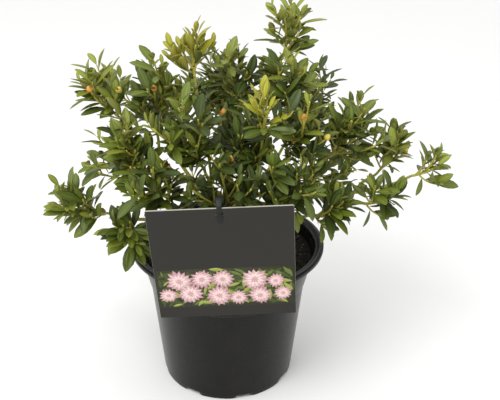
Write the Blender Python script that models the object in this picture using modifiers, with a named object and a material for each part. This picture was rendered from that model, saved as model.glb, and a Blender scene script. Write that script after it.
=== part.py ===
"""A young rhododendron in its nursery pot, with a label card hung over the front of the rim.

Metres, +Z up. The origin is the centre of the pot's flat underside, the front of the pot faces -Y, and +X is
to the right. The shrub is a short trunk, tapering boughs, and a mass of foliage at the end of each bough.
"""

import bmesh
import bpy
import numpy as np
from math import cos, radians, sin, tau
from mathutils import Euler, Matrix

# Clear space kept where two pieces meet
GAP = 0.0003

# Pot
RIM_RADIUS = 0.115
POT_HEIGHT = 0.1748
BASE_RADIUS = 0.0806
WALL = 0.0016
FLOOR = 0.0022
LIP_WIDTH = 0.0090
LIP_DROP = 0.0046
COLLAR_TOP_RADIUS = 0.1062
COLLAR_FOOT_RADIUS = 0.0952
COLLAR_FOOT_HEIGHT = 0.1180
COLLAR_STEP = 0.0015
EDGE = 0.0009
FLOOR_RADIUS = BASE_RADIUS - WALL - 0.0010
LIP_FOOT = POT_HEIGHT - LIP_DROP
DRAIN_NOTCHES = 8
FIRST_NOTCH = 1 / 3
NOTCH_SIZE = (0.024, 0.020, 0.0095)
NOTCH_OUT = 0.0020
POT_STEPS = 32

# Compost, with a mound of litter at the middle
SOIL_EDGE_HEIGHT = 0.1580
MOUND_HEIGHT = 0.1900
MOUND_TOP_RADIUS = 0.018
MOUND_FALL = 0.037
SOIL_RINGS = 8
SOIL_STEPS = 24

# Label card, whose back rests against the lower edge of the lip, and its tie, which stands in the compost
CARD_WIDTH = 0.1474
CARD_HEIGHT = 0.1430
CARD_THICK = 0.0018
CARD_MIDDLE_HEIGHT = 0.2140
CARD_LEAN = radians(9.0)
CARD_SPIN = radians(3.4)
CARD_YAW = radians(0.7)
CARD_REACH = GAP + CARD_THICK / 2 + (CARD_MIDDLE_HEIGHT - LIP_FOOT) * sin(CARD_LEAN)
CARD_CENTRE = (0.0, -RIM_RADIUS - CARD_REACH / cos(CARD_LEAN), CARD_MIDDLE_HEIGHT)
CARD_HOLE_RADIUS = 0.0038
CARD_HOLE_DROP = 0.0075
CARD_HOLE_SIDES = 12
TIE_WIDTH = 0.0050
TIE_THICK = 0.0010
TIE_TONGUE = 0.0090
TIE_RISE = 0.0130
TIE_BACK = 0.0300
TIE_FOOT_RADIUS = 0.0815

# Trunk
TRUNK_FOOT = (0.004, 0.012, MOUND_HEIGHT + GAP)
TRUNK_TOP = (0.000, 0.016, 0.2380)
TRUNK_FLARE_RADIUS = 0.0135
TRUNK_FOOT_RADIUS = 0.0095
TRUNK_TOP_RADIUS = 0.0065
TRUNK_SWAY = 0.001
TRUNK_SIDES = 12
FLARE_HEIGHT = 0.007
FLARE_SHARES = (0.0, 0.3, 1.0)
TRUNK_SHARES = (0.45, 0.7, 0.9, 1.0)

# Boughs: the foot's radius, and how much larger it is for each metre of length, on the trunk and on a bough
BOUGH_FOOT = (0.0016, 0.010)
SIDE_BOUGH_FOOT = (0.0014, 0.008)
LARGEST_FOOT_SHARE = 0.8
BOUGH_TIP_RADIUS = 0.0014
BOUGH_POINTS = 5
BOUGH_FORWARD = 0.35
SIDE_BOUGH_FORWARD = 0.6
BOUGH_LIFT = 0.35
BOUGH_END_SHARE = 0.92
BOUGH_LEAVE_SHARE = 0.38
BOUGH_ARRIVE_SHARE = 0.30
TIP_START_SHARE = 0.13
SEAT_POINTS = 25
SEAT_ROUNDS = 4

# The room that twigs and leaves keep clear
REACH_SHARE = 1.35
LEAF_BORDER_GAP = 0.0010
LEAF_LIMB_GAP = 0.0032
SHOOT_GAP = 0.0030
LEAF_SPACING = 0.0082
POT_ROOM = 0.0030
SOIL_ROOM = 0.0040
LIP_ROOM = 0.0150
CARD_ROOM = 0.0040
TIE_ROOM = 0.0080

# Twigs
STEM_RADII = (0.0017, 0.0016)
STEM_LIFT = 0.8
HUB_BACK_SHARE = 0.38
SHOOT_RADII = (0.0016, 0.0012)
SHOOT_POINTS = 3
SHOOT_STATIONS = (0.92, 0.15)
SHOOT_END_DEPTH = 0.020
SHOOT_LEAST_SHARE = 0.35
SHOOT_LENGTHS = (0.60, 1.45)
SHOOT_BEARINGS = (-0.25, 0.25)
SHOOT_LIFT = 1.0
SHOOT_PULLS = (1.0, 0.8, 0.6, 0.45)
SHOOT_TEST = (0.3, 0.5, 0.7, 0.85, 1.0)
SHOOT_CURVE = 0.35
CROWN_OPENING = radians(100)
GOLDEN_TURN = radians(137.5)
FIRST_SEED = 710
LEAF_SEED = 7

# Leaves: a rosette round each shoot's end, and some lower on it
LEAF_LENGTH = 0.039
LEAF_LENGTHS = (0.85, 1.12)
LEAF_LIFTS = (-0.10, 0.20)
LEAF_BREADTH = 0.46
LEAF_THICK = 0.0010
LEAF_ROOT_DEPTH = 0.0006
LEAF_WIDEST = 0.05
LEAF_FACE_LIFT = 0.7
LEAST_FACE = 0.15
ROSETTE_LEAVES = 4
ROSETTE_DEPTH = 0.30
ROSETTE_OPENINGS = (radians(38), radians(78))
SIDE_LEAVES = 1
SIDE_STATIONS = (0.60, 0.30)
SIDE_OPENING = radians(60)

# Each mass of foliage with the bough that carries it:
# name, what the bough springs from, how far along that, the mass's bearing (degrees to the right of the
# front), its reach from the pot's axis, its height, its size (radius), its shoots, and whether it is young
MASSES = (
    ("leader_right", "trunk", 1.00, 115, 0.075, 0.420, 0.036, 4, False),
    ("top_right", "leader_right", 0.58, 84, 0.066, 0.370, 0.043, 5, False),
    ("top_middle", "trunk", 0.91, 168, 0.042, 0.362, 0.046, 5, False),
    ("top_left_young", "centre_left", 0.62, -114, 0.043, 0.399, 0.031, 4, True),
    ("top_left", "upper_left", 0.62, -84, 0.078, 0.356, 0.044, 5, False),
    ("upper_left", "trunk", 0.80, -92, 0.139, 0.354, 0.041, 5, False),
    ("left", "trunk", 0.60, -66, 0.114, 0.311, 0.048, 5, False),
    ("left_low", "trunk", 0.22, -81, 0.168, 0.236, 0.038, 5, False),
    ("left_droop", "left_low", 0.60, -58, 0.128, 0.222, 0.035, 4, False),
    ("left_front", "trunk", 0.42, -42, 0.110, 0.280, 0.056, 6, False),
    ("centre_left", "trunk", 0.80, -34, 0.064, 0.328, 0.056, 6, False),
    ("centre", "trunk", 0.91, 34, 0.042, 0.314, 0.052, 5, False),
    ("centre_young", "front_right", 0.60, 30, 0.080, 0.360, 0.036, 4, True),
    ("centre_right", "trunk", 0.80, 66, 0.091, 0.328, 0.049, 5, False),
    ("front_middle", "trunk", 0.22, 3, 0.094, 0.284, 0.058, 6, False),
    ("front_right", "trunk", 0.60, 40, 0.107, 0.282, 0.055, 6, False),
    ("right", "trunk", 0.60, 84, 0.139, 0.318, 0.044, 5, False),
    ("right_low", "trunk", 0.42, 60, 0.133, 0.254, 0.037, 4, False),
    ("far_right_rise", "far_right", 0.70, 93, 0.189, 0.288, 0.032, 4, False),
    ("far_right", "trunk", 0.22, 88, 0.232, 0.280, 0.030, 4, False),
    ("far_right_low", "far_right", 0.60, 76, 0.176, 0.254, 0.032, 3, False),
    ("back_left", "trunk", 0.42, -135, 0.145, 0.310, 0.054, 4, False),
    ("back_left_low", "back_left", 0.55, -120, 0.160, 0.240, 0.048, 4, False),
    ("back_middle", "trunk", 0.22, 180, 0.155, 0.265, 0.054, 4, False),
    ("back_high", "trunk", 0.70, -172, 0.105, 0.335, 0.050, 5, False),
    ("back_right", "trunk", 0.42, 140, 0.145, 0.310, 0.054, 4, False),
    ("back_right_low", "back_right", 0.55, 126, 0.158, 0.238, 0.048, 4, False),
)

# Colours: base colour, roughness, metallic
BLACK_PLASTIC = ((0.022, 0.021, 0.018), 0.32, 0.0)
COMPOST = ((0.030, 0.021, 0.015), 0.95, 0.0)
CHARCOAL_CARD = ((0.046, 0.041, 0.036), 0.45, 0.0)
TIE_PLASTIC = ((0.012, 0.018, 0.014), 0.40, 0.0)
BROWN_BARK = ((0.110, 0.065, 0.035), 0.85, 0.0)
GREEN_LEAF = ((0.085, 0.125, 0.028), 0.45, 0.0)
YOUNG_LEAF = ((0.270, 0.290, 0.045), 0.45, 0.0)

UP = np.array([0.0, 0.0, 1.0])


def clear_scene():
    """Empties the scene of whatever it starts with."""
    for thing in list(bpy.data.objects):
        bpy.data.objects.remove(thing, do_unlink=True)


def new_collection(name):
    """A collection in the scene."""
    collection = bpy.data.collections.new(name)
    bpy.context.scene.collection.children.link(collection)
    return collection


def paint(thing, finish):
    """Gives an object a material of its own, from a base colour, a roughness and a metallic value."""
    colour, roughness, metallic = finish
    material = bpy.data.materials.new(thing.name + "_finish")
    material.use_nodes = True
    shader = material.node_tree.nodes["Principled BSDF"]
    shader.inputs["Base Color"].default_value = (*colour, 1.0)
    shader.inputs["Roughness"].default_value = roughness
    shader.inputs["Metallic"].default_value = metallic
    thing.data.materials.clear()
    thing.data.materials.append(material)


def place(name, data, collection):
    """A named object that holds this mesh or curve, in this collection."""
    thing = bpy.data.objects.new(name, data)
    collection.objects.link(thing)
    return thing


def turned(name, profile, steps, collection):
    """A profile of (radius, height) points turned once round the Z axis."""
    mesh = bpy.data.meshes.new(name)
    points = [(radius, 0.0, height) for radius, height in profile]
    mesh.from_pydata(points, [(i, i + 1) for i in range(len(points) - 1)], [])
    thing = place(name, mesh, collection)
    screw = thing.modifiers.new("turn", "SCREW")
    screw.steps = steps
    screw.render_steps = steps
    screw.use_merge_vertices = True
    screw.merge_threshold = 0.00001
    screw.use_smooth_shade = True
    return thing


def cut(thing, cutter):
    """Takes a cutter's shape out of an object."""
    cutter.hide_render = True
    cutter.display_type = "WIRE"
    boolean = thing.modifiers.new("cut", "BOOLEAN")
    boolean.operation = "DIFFERENCE"
    boolean.object = cutter


def box(name, size, collection):
    """A box of this size round its own origin."""
    mesh = bpy.data.meshes.new(name)
    shape = bmesh.new()
    bmesh.ops.create_cube(shape, size=1.0)
    bmesh.ops.scale(shape, vec=size, verts=shape.verts)
    shape.to_mesh(mesh)
    shape.free()
    return place(name, mesh, collection)


def join_shapes(shapes, name, collection):
    """One mesh object of several shapes that lie apart."""
    joined = bmesh.new()
    for shape in shapes:
        joined.from_mesh(shape)
        bpy.data.meshes.remove(shape)
    mesh = bpy.data.meshes.new(name)
    joined.to_mesh(mesh)
    joined.free()
    return place(name, mesh, collection)


def make_pot(parts, cutters):
    """The pot: a flat lip with a short drop, a tapering collar, a step, a body and a notched foot."""
    lip_under = POT_HEIGHT - WALL
    lip_inside = RIM_RADIUS - LIP_WIDTH
    collar_inside = COLLAR_FOOT_RADIUS - WALL
    body_top_radius = COLLAR_FOOT_RADIUS - COLLAR_STEP
    inside = [
        (0.0, FLOOR),
        (FLOOR_RADIUS, FLOOR),
        (body_top_radius - WALL, COLLAR_FOOT_HEIGHT),
        (collar_inside, COLLAR_FOOT_HEIGHT + COLLAR_STEP),
        (COLLAR_TOP_RADIUS - WALL, lip_under),
    ]
    lip = [
        (lip_inside, POT_HEIGHT),
        (RIM_RADIUS - EDGE, POT_HEIGHT),
        (RIM_RADIUS, POT_HEIGHT - EDGE),
        (RIM_RADIUS, LIP_FOOT),
        (RIM_RADIUS - WALL, LIP_FOOT),
        (RIM_RADIUS - WALL, lip_under),
    ]
    outside = [
        (COLLAR_TOP_RADIUS, lip_under - EDGE),
        (COLLAR_FOOT_RADIUS, COLLAR_FOOT_HEIGHT),
        (body_top_radius, COLLAR_FOOT_HEIGHT - COLLAR_STEP),
        (BASE_RADIUS, EDGE),
        (BASE_RADIUS - EDGE, 0.0),
        (0.0, 0.0),
    ]
    pot = turned("pot", inside + lip + outside, POT_STEPS, parts)
    notches = []
    for k in range(DRAIN_NOTCHES):
        shape = bmesh.new()
        bmesh.ops.create_cube(shape, size=1.0)
        bmesh.ops.scale(shape, vec=NOTCH_SIZE, verts=shape.verts)
        bearing = tau * (k + FIRST_NOTCH) / DRAIN_NOTCHES
        turn = Matrix.Rotation(bearing, 4, "Z") @ Matrix.Translation((BASE_RADIUS + NOTCH_OUT, 0.0, 0.0))
        bmesh.ops.transform(shape, matrix=turn, verts=shape.verts)
        mesh = bpy.data.meshes.new("notch")
        shape.to_mesh(mesh)
        shape.free()
        notches.append(mesh)
    cut(pot, join_shapes(notches, "drain_notches", cutters))
    paint(pot, BLACK_PLASTIC)


def soil_height(radius):
    """Height of the compost's surface at a radius: a low edge that rises to a flat-topped mound."""
    beyond = np.maximum(radius - MOUND_TOP_RADIUS, 0.0)
    return SOIL_EDGE_HEIGHT + (MOUND_HEIGHT - SOIL_EDGE_HEIGHT) * np.exp(-((beyond / MOUND_FALL) ** 2))


def inner_radius(height):
    """Radius of the pot's inside at a height above the step under the collar."""
    foot = COLLAR_FOOT_HEIGHT + COLLAR_STEP
    share = (height - foot) / (POT_HEIGHT - WALL - foot)
    return COLLAR_FOOT_RADIUS - WALL + share * (COLLAR_TOP_RADIUS - COLLAR_FOOT_RADIUS)


def make_soil(parts):
    """The compost that fills the pot, a hair's breadth clear of its wall and floor."""
    clear = 2 * GAP
    step_height = COLLAR_FOOT_HEIGHT + COLLAR_STEP
    edge_radius = inner_radius(soil_height(inner_radius(SOIL_EDGE_HEIGHT))) - clear
    radii = np.linspace(MOUND_TOP_RADIUS, edge_radius, SOIL_RINGS)
    profile = [(0.0, MOUND_HEIGHT)]
    profile += [(radius, soil_height(radius)) for radius in radii]
    profile += [
        (COLLAR_FOOT_RADIUS - WALL - clear, step_height + clear),
        (COLLAR_FOOT_RADIUS - COLLAR_STEP - WALL - clear, COLLAR_FOOT_HEIGHT),
        (FLOOR_RADIUS - clear, FLOOR + GAP),
        (0.0, FLOOR + GAP),
    ]
    soil = turned("soil", profile, SOIL_STEPS, parts)
    paint(soil, COMPOST)


def make_card(parts, cutters):
    """The label card: a thin plate leaning forward at its top, with a hole for the tie."""
    card = box("label_card", (CARD_WIDTH, CARD_THICK, CARD_HEIGHT), parts)
    card.location = CARD_CENTRE
    card.rotation_mode = "YXZ"
    card.rotation_euler = Euler((CARD_LEAN, -CARD_SPIN, CARD_YAW), "YXZ")
    mesh = bpy.data.meshes.new("tie_hole")
    shape = bmesh.new()
    bmesh.ops.create_cone(
        shape,
        cap_ends=True,
        segments=CARD_HOLE_SIDES,
        radius1=CARD_HOLE_RADIUS,
        radius2=CARD_HOLE_RADIUS,
        depth=4 * CARD_THICK,
    )
    bmesh.ops.rotate(shape, matrix=Matrix.Rotation(radians(90), 3, "X"), verts=shape.verts)
    bmesh.ops.translate(shape, vec=(0.0, 0.0, CARD_HEIGHT / 2 - CARD_HOLE_DROP), verts=shape.verts)
    shape.to_mesh(mesh)
    shape.free()
    hole = place("tie_hole", mesh, cutters)
    hole.parent = card
    cut(card, hole)
    paint(card, CHARCOAL_CARD)
    return card


def seen_from_card(forward, height):
    """How far a point of the pot's middle plane lies behind the card's middle, and above it."""
    back = forward - CARD_CENTRE[1]
    rise = height - CARD_CENTRE[2]
    return back * cos(CARD_LEAN) + rise * sin(CARD_LEAN), rise * cos(CARD_LEAN) - back * sin(CARD_LEAN)


def make_tie(card, parts):
    """The tie: a strap with a tongue before the card, through its hole, up behind it, and down to the compost."""
    clear = CARD_THICK / 2 + TIE_THICK / 2 + GAP
    top = CARD_HEIGHT / 2 + TIE_RISE
    hole_height = CARD_HEIGHT / 2 - CARD_HOLE_DROP
    path = (
        (-clear, hole_height - TIE_TONGUE),
        (-clear, hole_height - TIE_THICK),
        (clear, hole_height + TIE_THICK),
        (clear, CARD_HEIGHT / 2),
        (0.15 * TIE_BACK, top - 0.2 * TIE_RISE),
        (0.30 * TIE_BACK, top),
        (0.50 * TIE_BACK, top - 0.2 * TIE_RISE),
        (0.80 * TIE_BACK, top - 1.5 * TIE_RISE),
        (TIE_BACK, top - 4.0 * TIE_RISE),
        seen_from_card(-TIE_FOOT_RADIUS, soil_height(TIE_FOOT_RADIUS) + 2 * GAP),
    )
    points = []
    for depth, height in path:
        points.append((-TIE_WIDTH / 2, depth, height))
        points.append((TIE_WIDTH / 2, depth, height))
    faces = [(2 * i, 2 * i + 1, 2 * i + 3, 2 * i + 2) for i in range(len(path) - 1)]
    mesh = bpy.data.meshes.new("label_tie")
    mesh.from_pydata(points, [], faces)
    tie = place("label_tie", mesh, parts)
    tie.parent = card
    solidify = tie.modifiers.new("thickness", "SOLIDIFY")
    solidify.thickness = TIE_THICK
    solidify.offset = 0.0
    paint(tie, TIE_PLASTIC)


def unit(vector):
    """The vector at length one."""
    return vector / np.linalg.norm(vector)


def curve_through(start, leave, arrive, end, count):
    """Points on the cubic curve from start to end, pulled towards leave and then arrive."""
    share = np.linspace(0.0, 1.0, count)[:, None]
    rest = 1.0 - share
    return (
        rest**3 * start + 3 * share * rest**2 * leave + 3 * share**2 * rest * arrive + share**3 * end
    )


def along(path, share):
    """The point and the direction at a share of a path's length."""
    steps = np.linalg.norm(np.diff(path, axis=0), axis=1)
    run = np.concatenate([[0.0], np.cumsum(steps)]) / steps.sum()
    look = [share, max(share - 0.03, 0.0), min(share + 0.03, 1.0)]
    point, before, after = np.stack([np.interp(look, run, path[:, axis]) for axis in range(3)], -1)
    return point, unit(after - before)


def cross_frame(direction, hint):
    """Two unit vectors square to a direction, the second one on the hint's side."""
    across = np.cross(direction, hint)
    if np.linalg.norm(across) < 1e-4:
        across = np.cross(direction, np.array([1.0, 0.0, 0.0]))
    across = unit(across)
    return across, np.cross(across, direction)


def mass_centre(row):
    """Where a mass's middle lies, from its bearing, reach and height."""
    bearing = radians(row[3])
    return np.array([row[4] * sin(bearing), -row[4] * cos(bearing), row[5]])


CENTRES = np.array([mass_centre(row) for row in MASSES])
SIZES = np.array([row[6] for row in MASSES])


def gap_to(points, limbs):
    """Each point's distance to the nearest of some tapering limbs, each a path and the radii along it."""
    starts = np.concatenate([path[:-1] for path, radii in limbs])
    steps = np.concatenate([np.diff(path, axis=0) for path, radii in limbs])
    thick = np.concatenate([radii[:-1] for path, radii in limbs])
    swell = np.concatenate([np.diff(radii) for path, radii in limbs])
    offsets = points[:, None] - starts
    share = np.clip((offsets * steps).sum(-1) / (steps * steps).sum(-1), 0.0, 1.0)
    return (np.linalg.norm(offsets - share[..., None] * steps, axis=-1) - thick - swell * share).min(axis=1)


def bough_path(start, leave, centre, size):
    """A bough's path from its start, bending up to where it ends inside its mass."""
    out = centre - start
    end = centre - unit(out + UP * np.linalg.norm(out) * BOUGH_LIFT) * size * BOUGH_END_SHARE
    span = np.linalg.norm(end - start)
    leaving = start + leave * span * BOUGH_LEAVE_SHARE
    arriving = end - unit(centre - end) * span * BOUGH_ARRIVE_SHARE
    return curve_through(start, leaving, arriving, end, BOUGH_POINTS)


def foot_gap(path, foot_radius, parent):
    """How far the rim of a bough's foot lies from the limb that it springs from."""
    across, upward = cross_frame(unit(path[1] - path[0]), UP)
    turn = np.linspace(0.0, tau, SEAT_POINTS)[:, None]
    rim = path[0] + foot_radius * (np.cos(turn) * across + np.sin(turn) * upward)
    return gap_to(rim, [parent]).min()


def grow_bough(row, parent):
    """A bough's path and its radii, from its seat on the limb that it springs from to its mass."""
    name, springs_from, share = row[:3]
    parent_path, parent_radii = parent
    point, direction = along(parent_path, share)
    parent_radius = parent_radii[0] + (parent_radii[-1] - parent_radii[0]) * share
    centre = mass_centre(row)
    out = centre - point
    from_trunk = springs_from == "trunk"
    least, more = BOUGH_FOOT if from_trunk else SIDE_BOUGH_FOOT
    foot_radius = min(least + more * np.linalg.norm(out), LARGEST_FOOT_SHARE * parent_radius)
    if share == 1.0:
        start = point + direction * (GAP + TIP_START_SHARE * foot_radius)
        path = bough_path(start, direction, centre, row[6])
    else:
        side = unit(out - (out @ direction) * direction)
        leave = unit(side + (BOUGH_FORWARD if from_trunk else SIDE_BOUGH_FORWARD) * direction)
        start = point + side * (parent_radius + foot_radius)
        for _ in range(SEAT_ROUNDS):
            path = bough_path(start, leave, centre, row[6])
            start = start - side * (foot_gap(path, foot_radius, parent) - GAP)
        path = bough_path(start, leave, centre, row[6])
    return path, np.linspace(foot_radius, BOUGH_TIP_RADIUS, BOUGH_POINTS)


def grow_trunk():
    """The trunk's path and radii: a flared foot, then a straight taper to its fork."""
    foot = np.array(TRUNK_FOOT)
    top = np.array(TRUNK_TOP)
    middle = (foot + top) / 2 - np.array([TRUNK_SWAY, 0.0, 0.0])
    points = [foot + UP * FLARE_HEIGHT * share for share in FLARE_SHARES]
    flare = TRUNK_FLARE_RADIUS - TRUNK_FOOT_RADIUS
    radii = [TRUNK_FLARE_RADIUS - flare * share**0.5 for share in FLARE_SHARES]
    for share in TRUNK_SHARES:
        points.append(along(np.array([foot, middle, top]), share)[0])
        radii.append(TRUNK_FOOT_RADIUS + (TRUNK_TOP_RADIUS - TRUNK_FOOT_RADIUS) * share)
    return np.array(points), np.array(radii)


def grow_limbs():
    """The trunk and every bough, each as its path and the radius at each point of it, by name."""
    limbs = {"trunk": grow_trunk()}
    waiting = list(MASSES)
    while waiting:
        row = waiting.pop(0)
        if row[1] in limbs:
            limbs[row[0]] = grow_bough(row, limbs[row[1]])
        else:
            waiting.append(row)
    return limbs


LIMBS = grow_limbs()


def space_gap(points, index):
    """How deep each point lies inside a mass's own space, which flat borders part from the other masses."""
    reach = ((points[:, None] - CENTRES[None]) ** 2).sum(-1) - SIZES**2
    apart = np.linalg.norm(CENTRES - CENTRES[index], axis=1)
    apart[index] = 1.0
    gap = (reach - reach[:, index : index + 1]) / (2 * apart)
    gap[:, index] = 1.0
    return gap.min(axis=1)


def pot_gap(points):
    """Positive where a point is clear of the pot, the compost and the card."""
    radius = np.hypot(points[:, 0], points[:, 1])
    floor = np.where(radius > RIM_RADIUS - LIP_ROOM, POT_HEIGHT + POT_ROOM, soil_height(radius) + SOIL_ROOM)
    clear = np.maximum(points[:, 2] - floor, radius - (RIM_RADIUS + POT_ROOM))
    face = CARD_CENTRE[1] - (points[:, 2] - CARD_CENTRE[2]) * np.tan(CARD_LEAN)
    beside = np.abs(points[:, 0]) - (CARD_WIDTH / 2 + CARD_ROOM)
    above = points[:, 2] - (CARD_CENTRE[2] + CARD_HEIGHT / 2 + CARD_ROOM)
    before = np.abs(points[:, 1] - face) - CARD_ROOM
    tie_beside = np.abs(points[:, 0]) - TIE_ROOM
    tie_behind = np.abs(points[:, 1] - face - TIE_BACK / 2) - (TIE_BACK / 2 + TIE_ROOM)
    card = np.maximum(np.maximum(beside, above), before)
    tie = np.maximum(np.maximum(tie_beside, above - TIE_RISE), tie_behind)
    return np.minimum(clear, np.minimum(card, tie))


# The points of a leaf that are tested: shares of its length, and of half its breadth
LEAF_TEST = np.array(
    [(0.25, 0.0), (0.5, 0.0), (0.75, 0.0), (1.0, 0.0)]
    + [(share, side * half) for share, half in ((0.55, 1.0), (0.3, 0.5), (0.8, 0.5)) for side in (1, -1)]
)

# How a leaf is turned until it fits: share of its opening, share of its length, and turn round the shoot
LEAF_TRIES = tuple(
    (opening, length, turn)
    for opening, length in ((1.0, 1.0), (0.7, 1.0), (1.2, 0.9), (0.9, 0.75))
    for turn in (0.0, 0.5, -0.5, 1.0, -1.0, 1.6, -1.6, 2.4, -2.4)
)


def leaf_points(root, direction, normal, length):
    """The tested points of a leaf."""
    across = np.cross(direction, normal)
    half = length * LEAF_BREADTH / 2
    return root + LEAF_TEST[:, :1] * length * direction + LEAF_TEST[:, 1:] * half * across


def leaf_fits(index, points, taken):
    """Whether a leaf keeps to its mass's space, clear of limbs, pot, card and the leaves before it."""
    if (np.linalg.norm(points - CENTRES[index], axis=1) > SIZES[index] * REACH_SHARE).any():
        return False
    if (space_gap(points, index) < LEAF_BORDER_GAP).any():
        return False
    if (pot_gap(points) < 0).any() or (gap_to(points, LIMBS.values()) < LEAF_LIMB_GAP).any():
        return False
    apart = np.linalg.norm(points[1:, None] - taken[None], axis=-1)
    return not (apart < LEAF_SPACING).any()


def grow_leaf(index, shoot, station, opening, bearing, taken, rng):
    """A leaf's root, direction, upper side and length, or None where no turn of it fits."""
    point, heading = along(shoot, station)
    across, upward = cross_frame(heading, UP)
    full = LEAF_LENGTH * rng.uniform(*LEAF_LENGTHS)
    lift = rng.uniform(*LEAF_LIFTS)
    for less, shorter, turn in LEAF_TRIES:
        side = across * cos(bearing + turn) + upward * sin(bearing + turn)
        direction = unit(heading * cos(opening * less) + side * sin(opening * less) + UP * lift)
        face = heading + UP * LEAF_FACE_LIFT
        normal = face - (face @ direction) * direction
        if np.linalg.norm(normal) < LEAST_FACE:
            normal = cross_frame(direction, UP)[1]
        normal = unit(normal)
        leaf = (point, direction, normal, full * shorter)
        if leaf_fits(index, leaf_points(*leaf), taken):
            return leaf
    return None


def grow_shoot(index, stem, order, axis, phase, rng):
    """A shoot's path from the stem to its tip, or None where no length of it stays in the space."""
    size = SIZES[index]
    count = MASSES[index][7]
    cosine = 1.0 - (1.0 - cos(CROWN_OPENING)) * (order + 0.3) / count
    bearing = phase + GOLDEN_TURN * order + rng.uniform(*SHOOT_BEARINGS)
    across, upward = cross_frame(axis, np.array([1.0, 0.0, 0.0]))
    around = across * cos(bearing) + upward * sin(bearing)
    heading = axis * cosine + around * np.sqrt(1.0 - cosine**2)
    far = max(size - SHOOT_END_DEPTH, SHOOT_LEAST_SHARE * size) * rng.uniform(*SHOOT_LENGTHS)
    station = SHOOT_STATIONS[0] + (SHOOT_STATIONS[1] - SHOOT_STATIONS[0]) * order / count
    start, leave = along(stem, station)
    arrive = unit(heading + UP * SHOOT_LIFT)
    for pull in SHOOT_PULLS:
        tip = CENTRES[index] + heading * far * pull
        bend = np.linalg.norm(tip - start) * SHOOT_CURVE
        leaving = start + unit(leave + heading) * bend
        path = curve_through(start, leaving, tip - arrive * bend, tip, SHOOT_POINTS)
        points = np.array([along(path, share)[0] for share in SHOOT_TEST])
        gaps = (space_gap(points, index), pot_gap(points), gap_to(points, LIMBS.values()))
        if np.min(gaps) > SHOOT_GAP:
            return path
    return None


def grow_twigs(index):
    """The twigs of one mass, each as its path and two radii: a stem on from the bough, then shoots off it."""
    rng = np.random.default_rng((FIRST_SEED, index))
    bough = LIMBS[MASSES[index][0]][0]
    leave = unit(bough[-1] - bough[-2])
    start = bough[-1] + leave * GAP
    axis = unit(leave + UP * STEM_LIFT)
    hub = CENTRES[index] - axis * SIZES[index] * HUB_BACK_SHARE
    bend = np.linalg.norm(hub - start) * SHOOT_CURVE
    stem = curve_through(start, start + leave * bend, hub - axis * bend, hub, SHOOT_POINTS)
    twigs = [(stem, *STEM_RADII)]
    phase = rng.uniform(0.0, tau)
    for order in range(MASSES[index][7]):
        shoot = grow_shoot(index, stem, order, axis, phase, rng)
        if shoot is not None:
            twigs.append((shoot, *SHOOT_RADII))
    return twigs


def grow_leaves(index, twigs):
    """The leaves of one mass: a rosette round each shoot's end, and some lower on it."""
    rng = np.random.default_rng((FIRST_SEED, index, LEAF_SEED))
    leaves = []
    taken = np.empty((0, 3))
    for shoot, foot_radius, tip_radius in twigs[1:]:
        bearing = rng.uniform(0.0, tau)
        for j in range(ROSETTE_LEAVES + SIDE_LEAVES):
            if j < ROSETTE_LEAVES:
                share = j / (ROSETTE_LEAVES - 1)
                station = 1.0 - ROSETTE_DEPTH * share
                opening = ROSETTE_OPENINGS[0] + (ROSETTE_OPENINGS[1] - ROSETTE_OPENINGS[0]) * share
            else:
                share = (j - ROSETTE_LEAVES + 0.5) / SIDE_LEAVES
                station = SIDE_STATIONS[0] + (SIDE_STATIONS[1] - SIDE_STATIONS[0]) * share
                opening = SIDE_OPENING
            leaf = grow_leaf(index, shoot, station, opening, bearing + GOLDEN_TURN * j, taken, rng)
            if leaf is not None:
                leaves.append(leaf)
                taken = np.concatenate([taken, leaf_points(*leaf)[1:]])
    return leaves


def limb_curve(name, path, radii, collection):
    """A tapering limb: a straight-segment curve with a radius at each point, and filled caps."""
    curve = bpy.data.curves.new(name, "CURVE")
    curve.dimensions = "3D"
    curve.bevel_depth = 1.0
    curve.use_fill_caps = True
    spline = curve.splines.new("POLY")
    spline.points.add(len(path) - 1)
    for point, spot, radius in zip(spline.points, path, radii):
        point.co = (*spot, 1.0)
        point.radius = radius
    return place(name, curve, collection)


def make_trunk(parts):
    """The trunk: a flared foot with a flat cut on the compost, tapering to its fork."""
    trunk = limb_curve("trunk", *LIMBS["trunk"], parts)
    trunk.data.bevel_resolution = (TRUNK_SIDES - 4) // 2
    paint(trunk, BROWN_BARK)


def make_bough(name, parts):
    """A bough: one tapering limb."""
    bough = limb_curve("bough_" + name, *LIMBS[name], parts)
    bough.data.bevel_resolution = 1
    paint(bough, BROWN_BARK)


def solid_mesh(thing):
    """The closed mesh that a curve object shows, with its caps welded on."""
    graph = bpy.context.evaluated_depsgraph_get()
    mesh = bpy.data.meshes.new_from_object(thing.evaluated_get(graph))
    shape = bmesh.new()
    shape.from_mesh(mesh)
    bmesh.ops.remove_doubles(shape, verts=shape.verts, dist=0.00001)
    bmesh.ops.recalc_face_normals(shape, faces=shape.faces)
    shape.to_mesh(mesh)
    shape.free()
    return mesh


def leaf_mesh(leaf):
    """A leaf of eight faces: its root, tip and two sides, and a middle point above and below."""
    root, direction, normal, length = leaf
    across = np.cross(direction, normal)
    shape = bmesh.new()
    bmesh.ops.create_uvsphere(shape, u_segments=4, v_segments=2, radius=1.0)
    for corner in shape.verts:
        x, y, z = corner.co
        run = length * (0.5 + 0.5 * x + LEAF_WIDEST * (1 - x * x)) - LEAF_ROOT_DEPTH
        spot = root + direction * run
        spot = spot + across * y * length * LEAF_BREADTH / 2
        spot = spot + normal * z * LEAF_THICK / 2
        corner.co = spot
    bmesh.ops.recalc_face_normals(shape, faces=shape.faces)
    mesh = bpy.data.meshes.new("leaf")
    shape.to_mesh(mesh)
    shape.free()
    return mesh


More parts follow.
